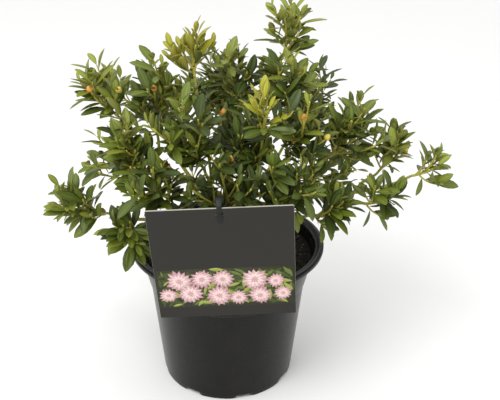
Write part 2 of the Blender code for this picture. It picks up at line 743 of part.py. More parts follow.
def keep_largest_body(mesh):
    """Drops loose scraps and the walls of sealed hollows. Says whether what is left is closed."""
    shape = bmesh.new()
    shape.from_mesh(mesh)
    bodies = []
    unseen = set(shape.verts)
    while unseen:
        front = [unseen.pop()]
        body = list(front)
        while front:
            corner = front.pop()
            for edge in corner.link_edges:
                other = edge.other_vert(corner)
                if other in unseen:
                    unseen.remove(other)
                    front.append(other)
                    body.append(other)
        bodies.append(body)
    bodies.sort(key=len)
    for body in bodies[:-1]:
        bmesh.ops.delete(shape, geom=body, context="VERTS")
    closed = all(edge.is_manifold for edge in shape.edges)
    shape.to_mesh(mesh)
    shape.free()
    return closed


def union_of(foliage, first, others):
    """The union of closed meshes as one mesh, made on an object that starts from the first of them."""
    pieces = new_collection("pieces")
    for mesh in others:
        place("piece", mesh, pieces)
    foliage.data = first
    union = foliage.modifiers.new("join", "BOOLEAN")
    union.operation = "UNION"
    union.operand_type = "COLLECTION"
    union.collection = pieces
    graph = bpy.context.evaluated_depsgraph_get()
    joined = bpy.data.meshes.new_from_object(foliage.evaluated_get(graph))
    foliage.modifiers.clear()
    for piece in list(pieces.objects):
        bpy.data.objects.remove(piece, do_unlink=True)
    bpy.data.collections.remove(pieces)
    return joined


def make_mass(index, parts, twig_outline):
    """A mass of foliage: twigs and leaves in one union. Where it doesn't close, it gets a leaf less."""
    name, young = MASSES[index][0], MASSES[index][8]
    twigs = grow_twigs(index)
    curves = []
    for path, foot_radius, tip_radius in twigs:
        radii = np.linspace(foot_radius, tip_radius, len(path))
        twig = limb_curve("twig", path, radii, parts)
        twig.data.bevel_mode = "OBJECT"
        twig.data.bevel_object = twig_outline
        curves.append(twig)
    bpy.context.view_layer.update()
    twig_meshes = [solid_mesh(twig) for twig in curves]
    for twig in curves:
        bpy.data.objects.remove(twig, do_unlink=True)
    leaf_meshes = [leaf_mesh(leaf) for leaf in grow_leaves(index, twigs)]
    foliage = place("foliage_" + name, twig_meshes[0], parts)
    closed = False
    while not closed:
        joined = union_of(foliage, twig_meshes[0], twig_meshes[1:] + leaf_meshes)
        closed = keep_largest_body(joined)
        foliage.data = joined
        leaf_meshes.pop()
    paint(foliage, YOUNG_LEAF if young else GREEN_LEAF)


def make_twig_outline(cutters):
    """The three-sided outline of a twig, one unit in radius."""
    curve = bpy.data.curves.new("twig_outline", "CURVE")
    curve.dimensions = "2D"
    spline = curve.splines.new("POLY")
    spline.points.add(2)
    spline.use_cyclic_u = True
    for k, point in enumerate(spline.points):
        point.co = (cos(tau * k / 3), sin(tau * k / 3), 0.0, 1.0)
    outline = place("twig_outline", curve, cutters)
    outline.hide_render = True
    return outline


def main():
    clear_scene()
    parts = new_collection("potted_rhododendron")
    cutters = new_collection("cutters")
    make_pot(parts, cutters)
    make_soil(parts)
    card = make_card(parts, cutters)
    make_tie(card, parts)
    make_trunk(parts)
    twig_outline = make_twig_outline(cutters)
    for index, row in enumerate(MASSES):
        make_bough(row[0], parts)
        make_mass(index, parts, twig_outline)
    bpy.data.objects.remove(twig_outline, do_unlink=True)


main()
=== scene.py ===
"""The look of the potted rhododendron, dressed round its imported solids.

Metres, +Z up, and the front of the pot faces -Y. Trunk, boughs and twigs grow by the same seeded rule as the
solids' own. The twigs are then carried on to finer ones, which bear leaves of their real size.
"""

from math import cos, radians, sin, tau

import bpy
import numpy as np
from mathutils import Euler, Matrix, Vector


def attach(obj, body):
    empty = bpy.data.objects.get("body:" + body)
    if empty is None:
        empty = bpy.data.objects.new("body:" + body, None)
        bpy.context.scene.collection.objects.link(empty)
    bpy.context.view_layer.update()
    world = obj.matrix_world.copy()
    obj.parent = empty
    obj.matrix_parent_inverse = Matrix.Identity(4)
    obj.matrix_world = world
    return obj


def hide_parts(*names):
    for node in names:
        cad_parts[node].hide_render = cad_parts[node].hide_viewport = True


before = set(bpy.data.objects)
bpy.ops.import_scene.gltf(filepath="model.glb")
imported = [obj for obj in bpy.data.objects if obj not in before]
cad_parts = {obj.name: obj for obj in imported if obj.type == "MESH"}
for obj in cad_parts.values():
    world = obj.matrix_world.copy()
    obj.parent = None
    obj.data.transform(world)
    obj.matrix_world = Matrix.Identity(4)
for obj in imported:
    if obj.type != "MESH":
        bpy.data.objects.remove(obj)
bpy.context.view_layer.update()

# Clear space kept where two pieces meet
GAP = 0.0003

# Pot, as in the source
RIM_RADIUS = 0.115
POT_HEIGHT = 0.1748
BASE_RADIUS = 0.0806
WALL = 0.0016
LIP_WIDTH = 0.0090
LIP_DROP = 0.0046
COLLAR_TOP_RADIUS = 0.1062
COLLAR_FOOT_RADIUS = 0.0952
COLLAR_FOOT_HEIGHT = 0.1180
COLLAR_STEP = 0.0015
FLOOR_RADIUS = BASE_RADIUS - WALL - 0.0010
LIP_FOOT = POT_HEIGHT - LIP_DROP
LIP_UNDER = POT_HEIGHT - WALL
DRAIN_NOTCHES = 8
FIRST_NOTCH = 1 / 3

# The finer shape of the pot: the collar's foot where the photograph shows it, about a centimetre above the
# solid's, eased corners, a swell over the base, a bead along the lip, and the notches' rise and flanks
POT_COLUMNS = 192
SEEN_COLLAR_FOOT = 0.1285
CORNER_EASE = 0.0005
CORNER_LARGEST_SHARE = 0.4
CORNER_STEPS = 4
BASE_SWELL = 0.0008
BASE_SWELL_HEIGHT = 0.0060
BEAD_IN = 0.0030
BEAD_HALF = 0.0009
BEAD_RISE = 0.0001
GROOVE_DEPTH = 0.0007
INNER_BAND_DROP = 0.0011
NOTCH_RISE = 0.0040
NOTCH_HALF = 0.0100
NOTCH_FLANK = 0.0025
FOOT_RING = 0.0100
FOOT_RING_EDGE = 0.0006
HUB_RADIUS = 0.030
FLOOR_TOP = 0.0062

# Compost, as in the source, with its grain and its litter, which share a seed
LITTER_SEED = 21
SOIL_EDGE_HEIGHT = 0.1580
MOUND_HEIGHT = 0.1900
MOUND_TOP_RADIUS = 0.018
MOUND_FALL = 0.037
SOIL_COLUMNS = 160
SOIL_ROWS = 52
GRAIN = 0.0013
INNERMOST_RING = 0.0015
LITTER_MARGIN = 0.004
CHIPS = 1500
CHIP_LENGTHS = (0.0018, 0.0065)
CHIP_SHAPE = (0.45, 0.6)
PALE_BITS = 150
PALE_BIT_LENGTHS = (0.0010, 0.0022)
PALE_BIT_SHAPE = (0.8, 0.6)
CRUMB_COLUMNS = 6
CRUMB_ROWS = (0.30, 0.62)
CRUMB_DENTS = (0.75, 1.20)
CRUMB_AXES = (1.0, 1.0, 0.35)
FIBRES = 420
FIBRE_REACH = 0.058
FIBRE_LENGTHS = (0.008, 0.022)
FIBRE_RADIUS = 0.00032
FIBRE_RISES = (-0.10, 0.25)
FIBRE_BEND = 0.0012
FIBRE_ROWS = 6
FIBRE_COLUMNS = 4

# Label card and tie, as in the source, and their finer shape
CARD_WIDTH = 0.1474
CARD_HEIGHT = 0.1430
CARD_THICK = 0.0018
CARD_MIDDLE_HEIGHT = 0.2140
CARD_LEAN = radians(9.0)
CARD_SPIN = radians(3.4)
CARD_YAW = radians(0.7)
CARD_REACH = GAP + CARD_THICK / 2 + (CARD_MIDDLE_HEIGHT - LIP_FOOT) * sin(CARD_LEAN)
CARD_CENTRE = (0.0, -RIM_RADIUS - CARD_REACH / cos(CARD_LEAN), CARD_MIDDLE_HEIGHT)
CARD_HOLE_RADIUS = 0.0038
CARD_HOLE_DROP = 0.0075
CARD_CORNER = 0.0014
CARD_EASE = 0.0003
CARD_CORNER_STEPS = 5
CARD_SIDE_STEPS = 12
TIE_WIDTH = 0.0050
TIE_THICK = 0.0010
TIE_RISE = 0.0130
TIE_BACK = 0.0300
TIE_FOOT_RADIUS = 0.0815
TIE_ROWS = 80
TIE_CLEAR = CARD_THICK / 2 + TIE_THICK / 2 + GAP
TIE_SUNK = 4 * GAP
TIE_CROWDING = 1.5

# Half of the tie's cross-section, as shares of half its width and of half its thickness
TIE_OUTLINE = ((-1, 0.7), (-0.6, 1), (0.6, 1), (1, 0.7))

# The tie's line from its tongue's tip to where it goes down behind the card: how far behind the card's
# middle, how far above the hole's middle, and its width there
TIE_LINE = (
    (-TIE_CLEAR - 0.0008, -0.0090, 0.0026),
    (-TIE_CLEAR, -0.0060, 0.0054),
    (-TIE_CLEAR, -0.0030, 0.0068),
    (0.0, -0.0006, 0.0066),
    (0.0004, 0.0010, 0.0040),
    (-TIE_CLEAR, 0.0034, 0.0026),
    (-TIE_CLEAR, 0.0060, 0.0042),
    (-TIE_CLEAR, 0.0082, 0.0050),
    (TIE_CLEAR, 0.0108, 0.0064),
    (0.0060, 0.0140, 0.0080),
    (0.0100, 0.0150, 0.0080),
    (0.0180, 0.0080, 0.0056),
    (0.0260, -0.0100, 0.0050),
    (TIE_BACK, -0.0390, 0.0050),
)

# Printed band on the card: where it lies, as heights over the card's middle, and its flowers and leaves
PRINT_SEED = 5
BAND_TOP = -0.0045
BAND_FOOT = -0.0575
BAND_MARGIN = 0.0009
PRINT_SEAT = GAP / 10
PRINT_LIFT = 0.00012
PRINT_THICK = 0.00006
PRINT_ROWS = 7
PRINT_LEAF_LENGTHS = (0.0080, 0.0190)
PRINT_LEAF_BREADTH = 0.28
PRINT_INSET = 0.0006
PRINT_HEADS = 11
HEAD_ROW_HEIGHTS = (0.28, 0.73)
HEAD_SPREAD = 0.0060
HEAD_RADII = (0.0100, 0.0165)
PETAL_LENGTHS = (0.82, 1.06)
PETAL_BREADTH = 0.36

# Leaves of the print, from the lowest to the topmost: name, how many, and display colour
PRINT_LEAVES = (
    ("dark", 260, (66, 78, 40)),
    ("green", 130, (98, 112, 54)),
    ("light", 60, (146, 154, 76)),
)

# Rings of a printed flower head: petals, their length as a share of the head's radius, and display colours
HEAD_RINGS = (
    (15, 1.00, "outer", (184, 142, 148)),
    (14, 0.84, "second", (208, 172, 174)),
    (12, 0.62, "third", (226, 200, 196)),
    (8, 0.32, "heart", (198, 156, 158)),
)

# Trunk, as in the source
TRUNK_FOOT = (0.004, 0.012, MOUND_HEIGHT + GAP)
TRUNK_TOP = (0.000, 0.016, 0.2380)
TRUNK_FLARE_RADIUS = 0.0135
TRUNK_FOOT_RADIUS = 0.0095
TRUNK_TOP_RADIUS = 0.0065
TRUNK_SWAY = 0.001
FLARE_HEIGHT = 0.007
FLARE_SHARES = (0.0, 0.3, 1.0)
TRUNK_SHARES = (0.45, 0.7, 0.9, 1.0)

# Boughs, as in the source
BOUGH_FOOT = (0.0016, 0.010)
SIDE_BOUGH_FOOT = (0.0014, 0.008)
LARGEST_FOOT_SHARE = 0.8
BOUGH_TIP_RADIUS = 0.0014
BOUGH_POINTS = 5
BOUGH_FORWARD = 0.35
SIDE_BOUGH_FORWARD = 0.6
BOUGH_LIFT = 0.35
BOUGH_END_SHARE = 0.92
BOUGH_LEAVE_SHARE = 0.38
BOUGH_ARRIVE_SHARE = 0.30
TIP_START_SHARE = 0.13
SEAT_POINTS = 25
SEAT_ROUNDS = 4

# Bark relief: two sets of ridges that wind up a limb, each as its number and its weight, how fast they wind,
# how far ridges and leaf scars stand out, and the thickness where the bark goes from green to brown
LIMB_ROWS = 44
LIMB_COLUMNS = 22
LIMB_PHASE = 1.7
RIDGES = ((3, 0.6), (8, 0.4))
RIDGE_WINDING = 60
RIDGE_WINDING_BACK = 0.4
RIDGE_SHARE = 0.07
SCAR_SHARE = 0.14
SCAR_SPACING = 0.011
SCAR_WIDTH = 0.12
RELIEF_FADE = 0.03
GREEN_RADIUS = 0.0026
BROWN_RADIUS = 0.0046

# The room that twigs keep clear, as in the source
REACH_SHARE = 1.35
SHOOT_GAP = 0.0030
POT_ROOM = 0.0030
SOIL_ROOM = 0.0040
LIP_ROOM = 0.0150
CARD_ROOM = 0.0040
TIE_ROOM = 0.0080

# Twigs, as in the source
STEM_RADII = (0.0017, 0.0016)
STEM_LIFT = 0.8
HUB_BACK_SHARE = 0.38
SHOOT_RADII = (0.0016, 0.0012)
SHOOT_POINTS = 3
SHOOT_STATIONS = (0.92, 0.15)
SHOOT_END_DEPTH = 0.020
SHOOT_LEAST_SHARE = 0.35
SHOOT_LENGTHS = (0.60, 1.45)
SHOOT_BEARINGS = (-0.25, 0.25)
FIRST_SHOOT_SHARE = 0.3
SHOOT_LIFT = 1.0
SHOOT_PULLS = (1.0, 0.8, 0.6, 0.45)
SHOOT_TEST = (0.3, 0.5, 0.7, 0.85, 1.0)
SHOOT_CURVE = 0.35
CROWN_OPENING = radians(100)
GOLDEN_TURN = radians(137.5)
FIRST_SEED = 710

# The crown's middle, and how far its outline lies from there to the sides and up
CROWN_MIDDLE = (0.015, 0.310)
CROWN_REACH = (0.24, 0.15)

# Finer twigs off each shoot and off the stem: how many goes by the mass's size over the room that each one
# takes, which is least in the crown's middle and most at its outline, seen from the front. A stem has more,
# and so has a mass that lies further back than a set place. One with too few leaves is left off.
FINE_SEED = 11
TWIG_ROOMS = (0.0100, 0.0330)
MORE_STEM_TWIGS = 1
BACK_STARTS = 0.07
MORE_BACK_TWIGS = 1
LEAST_FINE_LEAVES = 3
FINE_STATIONS = (0.10, 0.92)
FINE_LENGTHS = (0.016, 0.034)
FINE_OPENING = radians(40)
STEM_TWIG_OPENING = radians(68)
FINE_LIFT = 0.80
FINE_GAP = 0.0020
FINE_RADII = (0.0011, 0.0008)
TWIG_ROWS = 9
TWIG_COLUMNS = 6

# Leaves in sprays: a rosette round each twig's end, the innermost ones younger. Sprays of young leaves are
# closed more and stand up more. How many leaves a spray has stays below the second of its two numbers.
LEAF_LENGTH = 0.0255
OUTER_LEAF_GAIN = 0.20
LEAF_LENGTHS = (0.65, 1.20)
LEAF_BREADTH = 0.385
LEAF_LIFTS = (-0.12, 0.18)
YOUNG_LIFTS = (0.25, 0.60)
LEAF_FACE_LIFT = 0.7
LEAST_FACE = 0.15
LEAF_BORDER_GAP = 0.0004
LEAF_LIMB_GAP = 0.0012
LEAF_SPACING = 0.0024
LEAF_SEAT = 0.0006
SPRAY_LEAVES = (5, 7)
YOUNG_SPRAY_LEAVES = (4, 6)
SPRAY_DEPTH = 0.80
SPRAY_OPENINGS = (radians(24), radians(64))
SPRAY_OPENING_POWER = 0.7
YOUNG_OPENING_SHARE = 0.90
INNER_LEAF_SHARES = (0.58, 0.80)
LEAF_FOLD = 0.16
LEAF_DROOP = 0.10
LEAF_THICK = 0.00035
LEAF_OUTLINE_POWERS = (1.1, 0.8)

# Leaf buds, each at the twig end that is seen nearest to its place from the camera, the foremost one if many
# are near: how far the place is to the right and up where the line of sight crosses the upright plane through
# the pot's axis, and whether the bud is yellow and not orange
BUD_LENGTH = 0.0086
BUD_RADIUS = 0.0038
BUD_ROWS = (0.08, 0.25, 0.45, 0.65, 0.85)
BUD_COLUMNS = 8
BUD_PROFILE_POWERS = (0.75, 0.8)
BUD_LIFT = 0.4
BUD_COLOURS = {
    "orange": ((176, 92, 28), (232, 180, 74)),
    "yellow": ((196, 170, 60), (226, 204, 96)),
}
BUD_NEARNESS = 0.15
BUDS = (
    (0.006, 0.330, False),
    (0.088, 0.333, False),
    (0.068, 0.297, False),
    (0.013, 0.284, False),
    (-0.149, 0.362, False),
    (-0.082, 0.355, False),
    (-0.068, 0.266, False),
    (-0.119, 0.354, True),
    (0.212, 0.298, True),
    (0.118, 0.304, True),
)

# Each mass of foliage with the bough that carries it, as in the source:
# name, what the bough springs from, how far along that, the mass's bearing (degrees to the right of the
# front), its reach from the pot's axis, its height, its size (radius), its shoots, and whether it is young
MASSES = (
    ("leader_right", "trunk", 1.00, 115, 0.075, 0.420, 0.036, 4, False),
    ("top_right", "leader_right", 0.58, 84, 0.066, 0.370, 0.043, 5, False),
    ("top_middle", "trunk", 0.91, 168, 0.042, 0.362, 0.046, 5, False),
    ("top_left_young", "centre_left", 0.62, -114, 0.043, 0.399, 0.031, 4, True),
    ("top_left", "upper_left", 0.62, -84, 0.078, 0.356, 0.044, 5, False),
    ("upper_left", "trunk", 0.80, -92, 0.139, 0.354, 0.041, 5, False),
    ("left", "trunk", 0.60, -66, 0.114, 0.311, 0.048, 5, False),
    ("left_low", "trunk", 0.22, -81, 0.168, 0.236, 0.038, 5, False),
    ("left_droop", "left_low", 0.60, -58, 0.128, 0.222, 0.035, 4, False),
    ("left_front", "trunk", 0.42, -42, 0.110, 0.280, 0.056, 6, False),
    ("centre_left", "trunk", 0.80, -34, 0.064, 0.328, 0.056, 6, False),
    ("centre", "trunk", 0.91, 34, 0.042, 0.314, 0.052, 5, False),
    ("centre_young", "front_right", 0.60, 30, 0.080, 0.360, 0.036, 4, True),
    ("centre_right", "trunk", 0.80, 66, 0.091, 0.328, 0.049, 5, False),
    ("front_middle", "trunk", 0.22, 3, 0.094, 0.284, 0.058, 6, False),
    ("front_right", "trunk", 0.60, 40, 0.107, 0.282, 0.055, 6, False),
    ("right", "trunk", 0.60, 84, 0.139, 0.318, 0.044, 5, False),
    ("right_low", "trunk", 0.42, 60, 0.133, 0.254, 0.037, 4, False),
    ("far_right_rise", "far_right", 0.70, 93, 0.189, 0.288, 0.032, 4, False),
    ("far_right", "trunk", 0.22, 88, 0.232, 0.280, 0.030, 4, False),
    ("far_right_low", "far_right", 0.60, 76, 0.176, 0.254, 0.032, 3, False),
    ("back_left", "trunk", 0.42, -135, 0.145, 0.310, 0.054, 4, False),
    ("back_left_low", "back_left", 0.55, -120, 0.160, 0.240, 0.048, 4, False),
    ("back_middle", "trunk", 0.22, 180, 0.155, 0.265, 0.054, 4, False),
    ("back_high", "trunk", 0.70, -172, 0.105, 0.335, 0.050, 5, False),
    ("back_right", "trunk", 0.42, 140, 0.145, 0.310, 0.054, 4, False),
    ("back_right_low", "back_right", 0.55, 126, 0.158, 0.238, 0.048, 4, False),
)

# Leaf kinds from the shaded inside of the crown to its lit outside: name, then the display colours (0 to 255)
# of the blade's upper side, its midrib and its underside. From dark to light they are partly a real spread of
# tone, and partly painted shade inside the crown and painted light on its outside and top. The young kind is
# the real colour of new leaves.
LEAF_KINDS = (
    ("deep", (60, 74, 26), (77, 90, 34), (88, 96, 42)),
    ("dark", (80, 95, 30), (100, 111, 40), (108, 116, 48)),
    ("middle", (101, 116, 34), (122, 133, 47), (128, 134, 58)),
    ("olive", (124, 133, 44), (143, 150, 58), (146, 148, 70)),
    ("fresh_and_lit", (142, 153, 52), (162, 170, 68), (160, 163, 78)),
    ("young", (166, 164, 50), (183, 181, 70), (178, 174, 76)),
)

# The finishes of a leaf's three surfaces, in that order: the start of the name, and the roughness
LEAF_SIDES = (("leaf_", 0.34), ("midrib_", 0.45), ("underside_", 0.55))

# A spray's kind goes by a score of how far out and how high it lies in the crown, and of chance, with the
# scores at which the next kind starts. The reach and height terms paint light and shade: lighter further out
# and higher, darker inside. On a young mass this share of the sprays is young instead.
KIND_BY_REACH = 0.55
KIND_BY_HEIGHT = 0.18
KIND_CHANCE = (-0.32, 0.32)
KIND_STOPS = (0.12, 0.32, 0.55, 0.79)
YOUNG_KIND = 5
YOUNG_SHARE = 0.6

# Camera, as fitted to the pot's ellipses, and lights
CAMERA_PLACE = (0.0262, -0.8045, 0.6204)
CAMERA_TILT = radians(64.0)
CAMERA_ROLL = 0.0116
CAMERA_LENS = 55.03
SENSOR_WIDTH = 36.0
FLOOR_SIZE = 12.0
FLOOR_COLOUR = (246, 246, 245)
WORLD_STRENGTH = 1.0
LIGHT_PLACE = (-0.7, -1.1, 1.9)
LIGHT_AIM = (0.0, 0.0, 0.25)
LIGHT_SIZE = 1.0
LIGHT_POWER = 22.0

UP = np.array([0.0, 0.0, 1.0])
RIGHT = np.array([1.0, 0.0, 0.0])

# The share of a path on either side of a point that gives its direction there, and lengths that count as none
LOOK_AHEAD = 0.03
LEAST_CROSS = 1e-4
TINY = 1e-6


# Growth: the rule of the source


def unit(vector):
    """The vector at length one."""
    return vector / np.linalg.norm(vector)


def between(ends, share):
    """The value at a share of the way from one end to the other."""
    return ends[0] + (ends[1] - ends[0]) * share


def curve_through(start, leave, arrive, end, count):
    """Points on the cubic curve from start to end, pulled towards leave and then arrive."""
    share = np.linspace(0.0, 1.0, count)[:, None]
    rest = 1.0 - share
    return (
        rest**3 * start + 3 * share * rest**2 * leave + 3 * share**2 * rest * arrive + share**3 * end
    )


def along(path, share):
    """The point and the direction at a share of a path's length."""
    steps = np.linalg.norm(np.diff(path, axis=0), axis=1)
    run = np.concatenate([[0.0], np.cumsum(steps)]) / steps.sum()
    look = [share, max(share - LOOK_AHEAD, 0.0), min(share + LOOK_AHEAD, 1.0)]
    point, before, after = np.stack([np.interp(look, run, path[:, axis]) for axis in range(3)], -1)
    return point, unit(after - before)


def cross_frame(direction, hint):
    """Two unit vectors square to a direction, the second one on the hint's side."""
    across = np.cross(direction, hint)
    if np.linalg.norm(across) < LEAST_CROSS:
        across = np.cross(direction, RIGHT)
    across = unit(across)
    return across, np.cross(across, direction)


def mass_centre(row):
    """Where a mass's middle lies, from its bearing, reach and height."""
    bearing, reach, height = row[3:6]
    return np.array([reach * sin(radians(bearing)), -reach * cos(radians(bearing)), height])


CENTRES = np.array([mass_centre(row) for row in MASSES])
SIZES = np.array([row[6] for row in MASSES])
SHOOT_COUNTS = [row[7] for row in MASSES]
ARE_YOUNG = [row[8] for row in MASSES]


def gap_to(points, limbs):
    """Each point's distance to the nearest of some tapering limbs, each a path and the radii along it."""
    starts = np.concatenate([path[:-1] for path, radii in limbs])
    steps = np.concatenate([np.diff(path, axis=0) for path, radii in limbs])
    thick = np.concatenate([radii[:-1] for path, radii in limbs])
    swell = np.concatenate([np.diff(radii) for path, radii in limbs])
    offsets = points[:, None] - starts
    share = np.clip((offsets * steps).sum(-1) / (steps * steps).sum(-1), 0.0, 1.0)
    return (np.linalg.norm(offsets - share[..., None] * steps, axis=-1) - thick - swell * share).min(axis=1)


def bough_path(start, leave, centre, size):
    """A bough's path from its start, bending up to where it ends inside its mass."""
    out = centre - start
    end = centre - unit(out + UP * np.linalg.norm(out) * BOUGH_LIFT) * size * BOUGH_END_SHARE
    span = np.linalg.norm(end - start)
    leaving = start + leave * span * BOUGH_LEAVE_SHARE
    arriving = end - unit(centre - end) * span * BOUGH_ARRIVE_SHARE
    return curve_through(start, leaving, arriving, end, BOUGH_POINTS)


def foot_gap(path, foot_radius, parent):
    """How far the rim of a bough's foot lies from the limb that it springs from."""
    across, upward = cross_frame(unit(path[1] - path[0]), UP)
    turn = np.linspace(0.0, tau, SEAT_POINTS)[:, None]
    rim = path[0] + foot_radius * (np.cos(turn) * across + np.sin(turn) * upward)
    return gap_to(rim, [parent]).min()


def grow_bough(row, parent):
    """A bough's path and its radii, from its seat on the limb that it springs from to its mass."""
    name, springs_from, share = row[:3]
    parent_path, parent_radii = parent
    point, direction = along(parent_path, share)
    parent_radius = between((parent_radii[0], parent_radii[-1]), share)
    centre = mass_centre(row)
    out = centre - point
    from_trunk = springs_from == "trunk"
    least, more = BOUGH_FOOT if from_trunk else SIDE_BOUGH_FOOT
    foot_radius = min(least + more * np.linalg.norm(out), LARGEST_FOOT_SHARE * parent_radius)
    if share == 1.0:
        start = point + direction * (GAP + TIP_START_SHARE * foot_radius)
        path = bough_path(start, direction, centre, row[6])
    else:
        side = unit(out - (out @ direction) * direction)
        leave = unit(side + (BOUGH_FORWARD if from_trunk else SIDE_BOUGH_FORWARD) * direction)
        start = point + side * (parent_radius + foot_radius)
        for _ in range(SEAT_ROUNDS):
            path = bough_path(start, leave, centre, row[6])
            start = start - side * (foot_gap(path, foot_radius, parent) - GAP)
        path = bough_path(start, leave, centre, row[6])
    return path, np.linspace(foot_radius, BOUGH_TIP_RADIUS, BOUGH_POINTS)


def grow_trunk():
    """The trunk's path and radii: a flared foot, then a straight taper to its fork."""
    foot = np.array(TRUNK_FOOT)
    top = np.array(TRUNK_TOP)
    middle = (foot + top) / 2 - np.array([TRUNK_SWAY, 0.0, 0.0])
    points = [foot + UP * FLARE_HEIGHT * share for share in FLARE_SHARES]
    flare = TRUNK_FLARE_RADIUS - TRUNK_FOOT_RADIUS
    radii = [TRUNK_FLARE_RADIUS - flare * share**0.5 for share in FLARE_SHARES]
    for share in TRUNK_SHARES:
        points.append(along(np.array([foot, middle, top]), share)[0])
        radii.append(between((TRUNK_FOOT_RADIUS, TRUNK_TOP_RADIUS), share))
    return np.array(points), np.array(radii)


def grow_limbs():
    """The trunk and every bough, each as its path and the radius at each point of it, by name."""
    limbs = {"trunk": grow_trunk()}
    waiting = list(MASSES)
    while waiting:
        row = waiting.pop(0)
        if row[1] in limbs:
            limbs[row[0]] = grow_bough(row, limbs[row[1]])
        else:
            waiting.append(row)
    return limbs


LIMBS = grow_limbs()


def space_gap(points, index):
    """How deep each point lies inside a mass's own space, which flat borders part from the other masses."""
    reach = ((points[:, None] - CENTRES[None]) ** 2).sum(-1) - SIZES**2
    apart = np.linalg.norm(CENTRES - CENTRES[index], axis=1)
    apart[index] = 1.0
    gap = (reach - reach[:, index : index + 1]) / (2 * apart)
    gap[:, index] = 1.0
    return gap.min(axis=1)


def soil_height(radius):
    """Height of the compost's surface at a radius: a low edge that rises to a flat-topped mound."""
    beyond = np.maximum(radius - MOUND_TOP_RADIUS, 0.0)
    return SOIL_EDGE_HEIGHT + (MOUND_HEIGHT - SOIL_EDGE_HEIGHT) * np.exp(-((beyond / MOUND_FALL) ** 2))


def inner_radius(height):
    """Radius of the solid pot's inside at a height above the step under its collar."""
    foot = COLLAR_FOOT_HEIGHT + COLLAR_STEP
    share = (height - foot) / (POT_HEIGHT - WALL - foot)
    return COLLAR_FOOT_RADIUS - WALL + share * (COLLAR_TOP_RADIUS - COLLAR_FOOT_RADIUS)


def pot_gap(points):
    """Positive where a point is clear of the pot, the compost and the card."""
    radius = np.hypot(points[:, 0], points[:, 1])
    floor = np.where(radius > RIM_RADIUS - LIP_ROOM, POT_HEIGHT + POT_ROOM, soil_height(radius) + SOIL_ROOM)
    clear = np.maximum(points[:, 2] - floor, radius - (RIM_RADIUS + POT_ROOM))
    face = CARD_CENTRE[1] - (points[:, 2] - CARD_CENTRE[2]) * np.tan(CARD_LEAN)
    beside = np.abs(points[:, 0]) - (CARD_WIDTH / 2 + CARD_ROOM)
    above = points[:, 2] - (CARD_CENTRE[2] + CARD_HEIGHT / 2 + CARD_ROOM)
    before = np.abs(points[:, 1] - face) - CARD_ROOM
    tie_beside = np.abs(points[:, 0]) - TIE_ROOM
    tie_behind = np.abs(points[:, 1] - face - TIE_BACK / 2) - (TIE_BACK / 2 + TIE_ROOM)
    card = np.maximum(np.maximum(beside, above), before)
    tie = np.maximum(np.maximum(tie_beside, above - TIE_RISE), tie_behind)
    return np.minimum(clear, np.minimum(card, tie))


def twig_path(start, leave, tip, arrive, bend):
    """The few points of a twig, on a curve that bends from its way out to its way into the tip."""
    return curve_through(start, start + leave * bend, tip - arrive * bend, tip, SHOOT_POINTS)


def twig_room(index, path):
    """The tested points of a twig, and how clear the least clear one is of borders, limbs, pot and card."""
    points = np.array([along(path, share)[0] for share in SHOOT_TEST])
    return points, np.min((space_gap(points, index), pot_gap(points), gap_to(points, LIMBS.values())))


def grow_shoot(index, stem, order, axis, phase, rng):
    """A shoot's path from the stem to its tip, or None where no length of it stays in the space."""
    size = SIZES[index]
    count = SHOOT_COUNTS[index]
    cosine = 1.0 - (1.0 - cos(CROWN_OPENING)) * (order + FIRST_SHOOT_SHARE) / count
    bearing = phase + GOLDEN_TURN * order + rng.uniform(*SHOOT_BEARINGS)
    across, upward = cross_frame(axis, RIGHT)
    around = across * cos(bearing) + upward * sin(bearing)
    heading = axis * cosine + around * np.sqrt(1.0 - cosine**2)
    far = max(size - SHOOT_END_DEPTH, SHOOT_LEAST_SHARE * size) * rng.uniform(*SHOOT_LENGTHS)
    station = SHOOT_STATIONS[0] + (SHOOT_STATIONS[1] - SHOOT_STATIONS[0]) * order / count
    start, leave = along(stem, station)
    arrive = unit(heading + UP * SHOOT_LIFT)
    for pull in SHOOT_PULLS:
        tip = CENTRES[index] + heading * far * pull
        bend = np.linalg.norm(tip - start) * SHOOT_CURVE
        path = twig_path(start, unit(leave + heading), tip, arrive, bend)
        if twig_room(index, path)[1] > SHOOT_GAP:
            return path
    return None


def grow_twigs(index):
    """The twigs of one mass, each as its path and two radii: a stem on from the bough, then shoots off it."""
    rng = np.random.default_rng((FIRST_SEED, index))
    bough = LIMBS[MASSES[index][0]][0]
    leave = unit(bough[-1] - bough[-2])
    start = bough[-1] + leave * GAP
    axis = unit(leave + UP * STEM_LIFT)
    hub = CENTRES[index] - axis * SIZES[index] * HUB_BACK_SHARE
    stem = twig_path(start, leave, hub, axis, np.linalg.norm(hub - start) * SHOOT_CURVE)
    twigs = [(stem, *STEM_RADII)]
    phase = rng.uniform(0.0, tau)
    for order in range(SHOOT_COUNTS[index]):
        shoot = grow_shoot(index, stem, order, axis, phase, rng)
        if shoot is not None:
            twigs.append((shoot, *SHOOT_RADII))
    return twigs


# Growth carried on: finer twigs and leaves of their real size, within the same room

# The points of a leaf that are tested: shares of its length, and of half its breadth
LEAF_TEST = np.array(
    [(0.25, 0.0), (0.5, 0.0), (0.75, 0.0), (1.0, 0.0)]
    + [(share, side * half) for share, half in ((0.55, 1.0), (0.3, 0.5), (0.8, 0.5)) for side in (1, -1)]
)

# How a leaf is turned until it fits: share of its opening, share of its length, and turn round the twig
LEAF_TRIES = tuple(
    (opening, length, turn)
    for opening, length in ((1.0, 1.0), (0.7, 1.0), (1.2, 0.9), (0.9, 0.75))
    for turn in (0.0, 0.5, -0.5, 1.0, -1.0, 1.6, -1.6, 2.4, -2.4)
)

# How a finer twig is turned until it fits: share of its length, and turn round the shoot
TWIG_TRIES = tuple((length, turn) for length in (1.0, 0.7, 0.5) for turn in (0.0, 0.8, -0.8, 1.6, -1.6, 2.5))


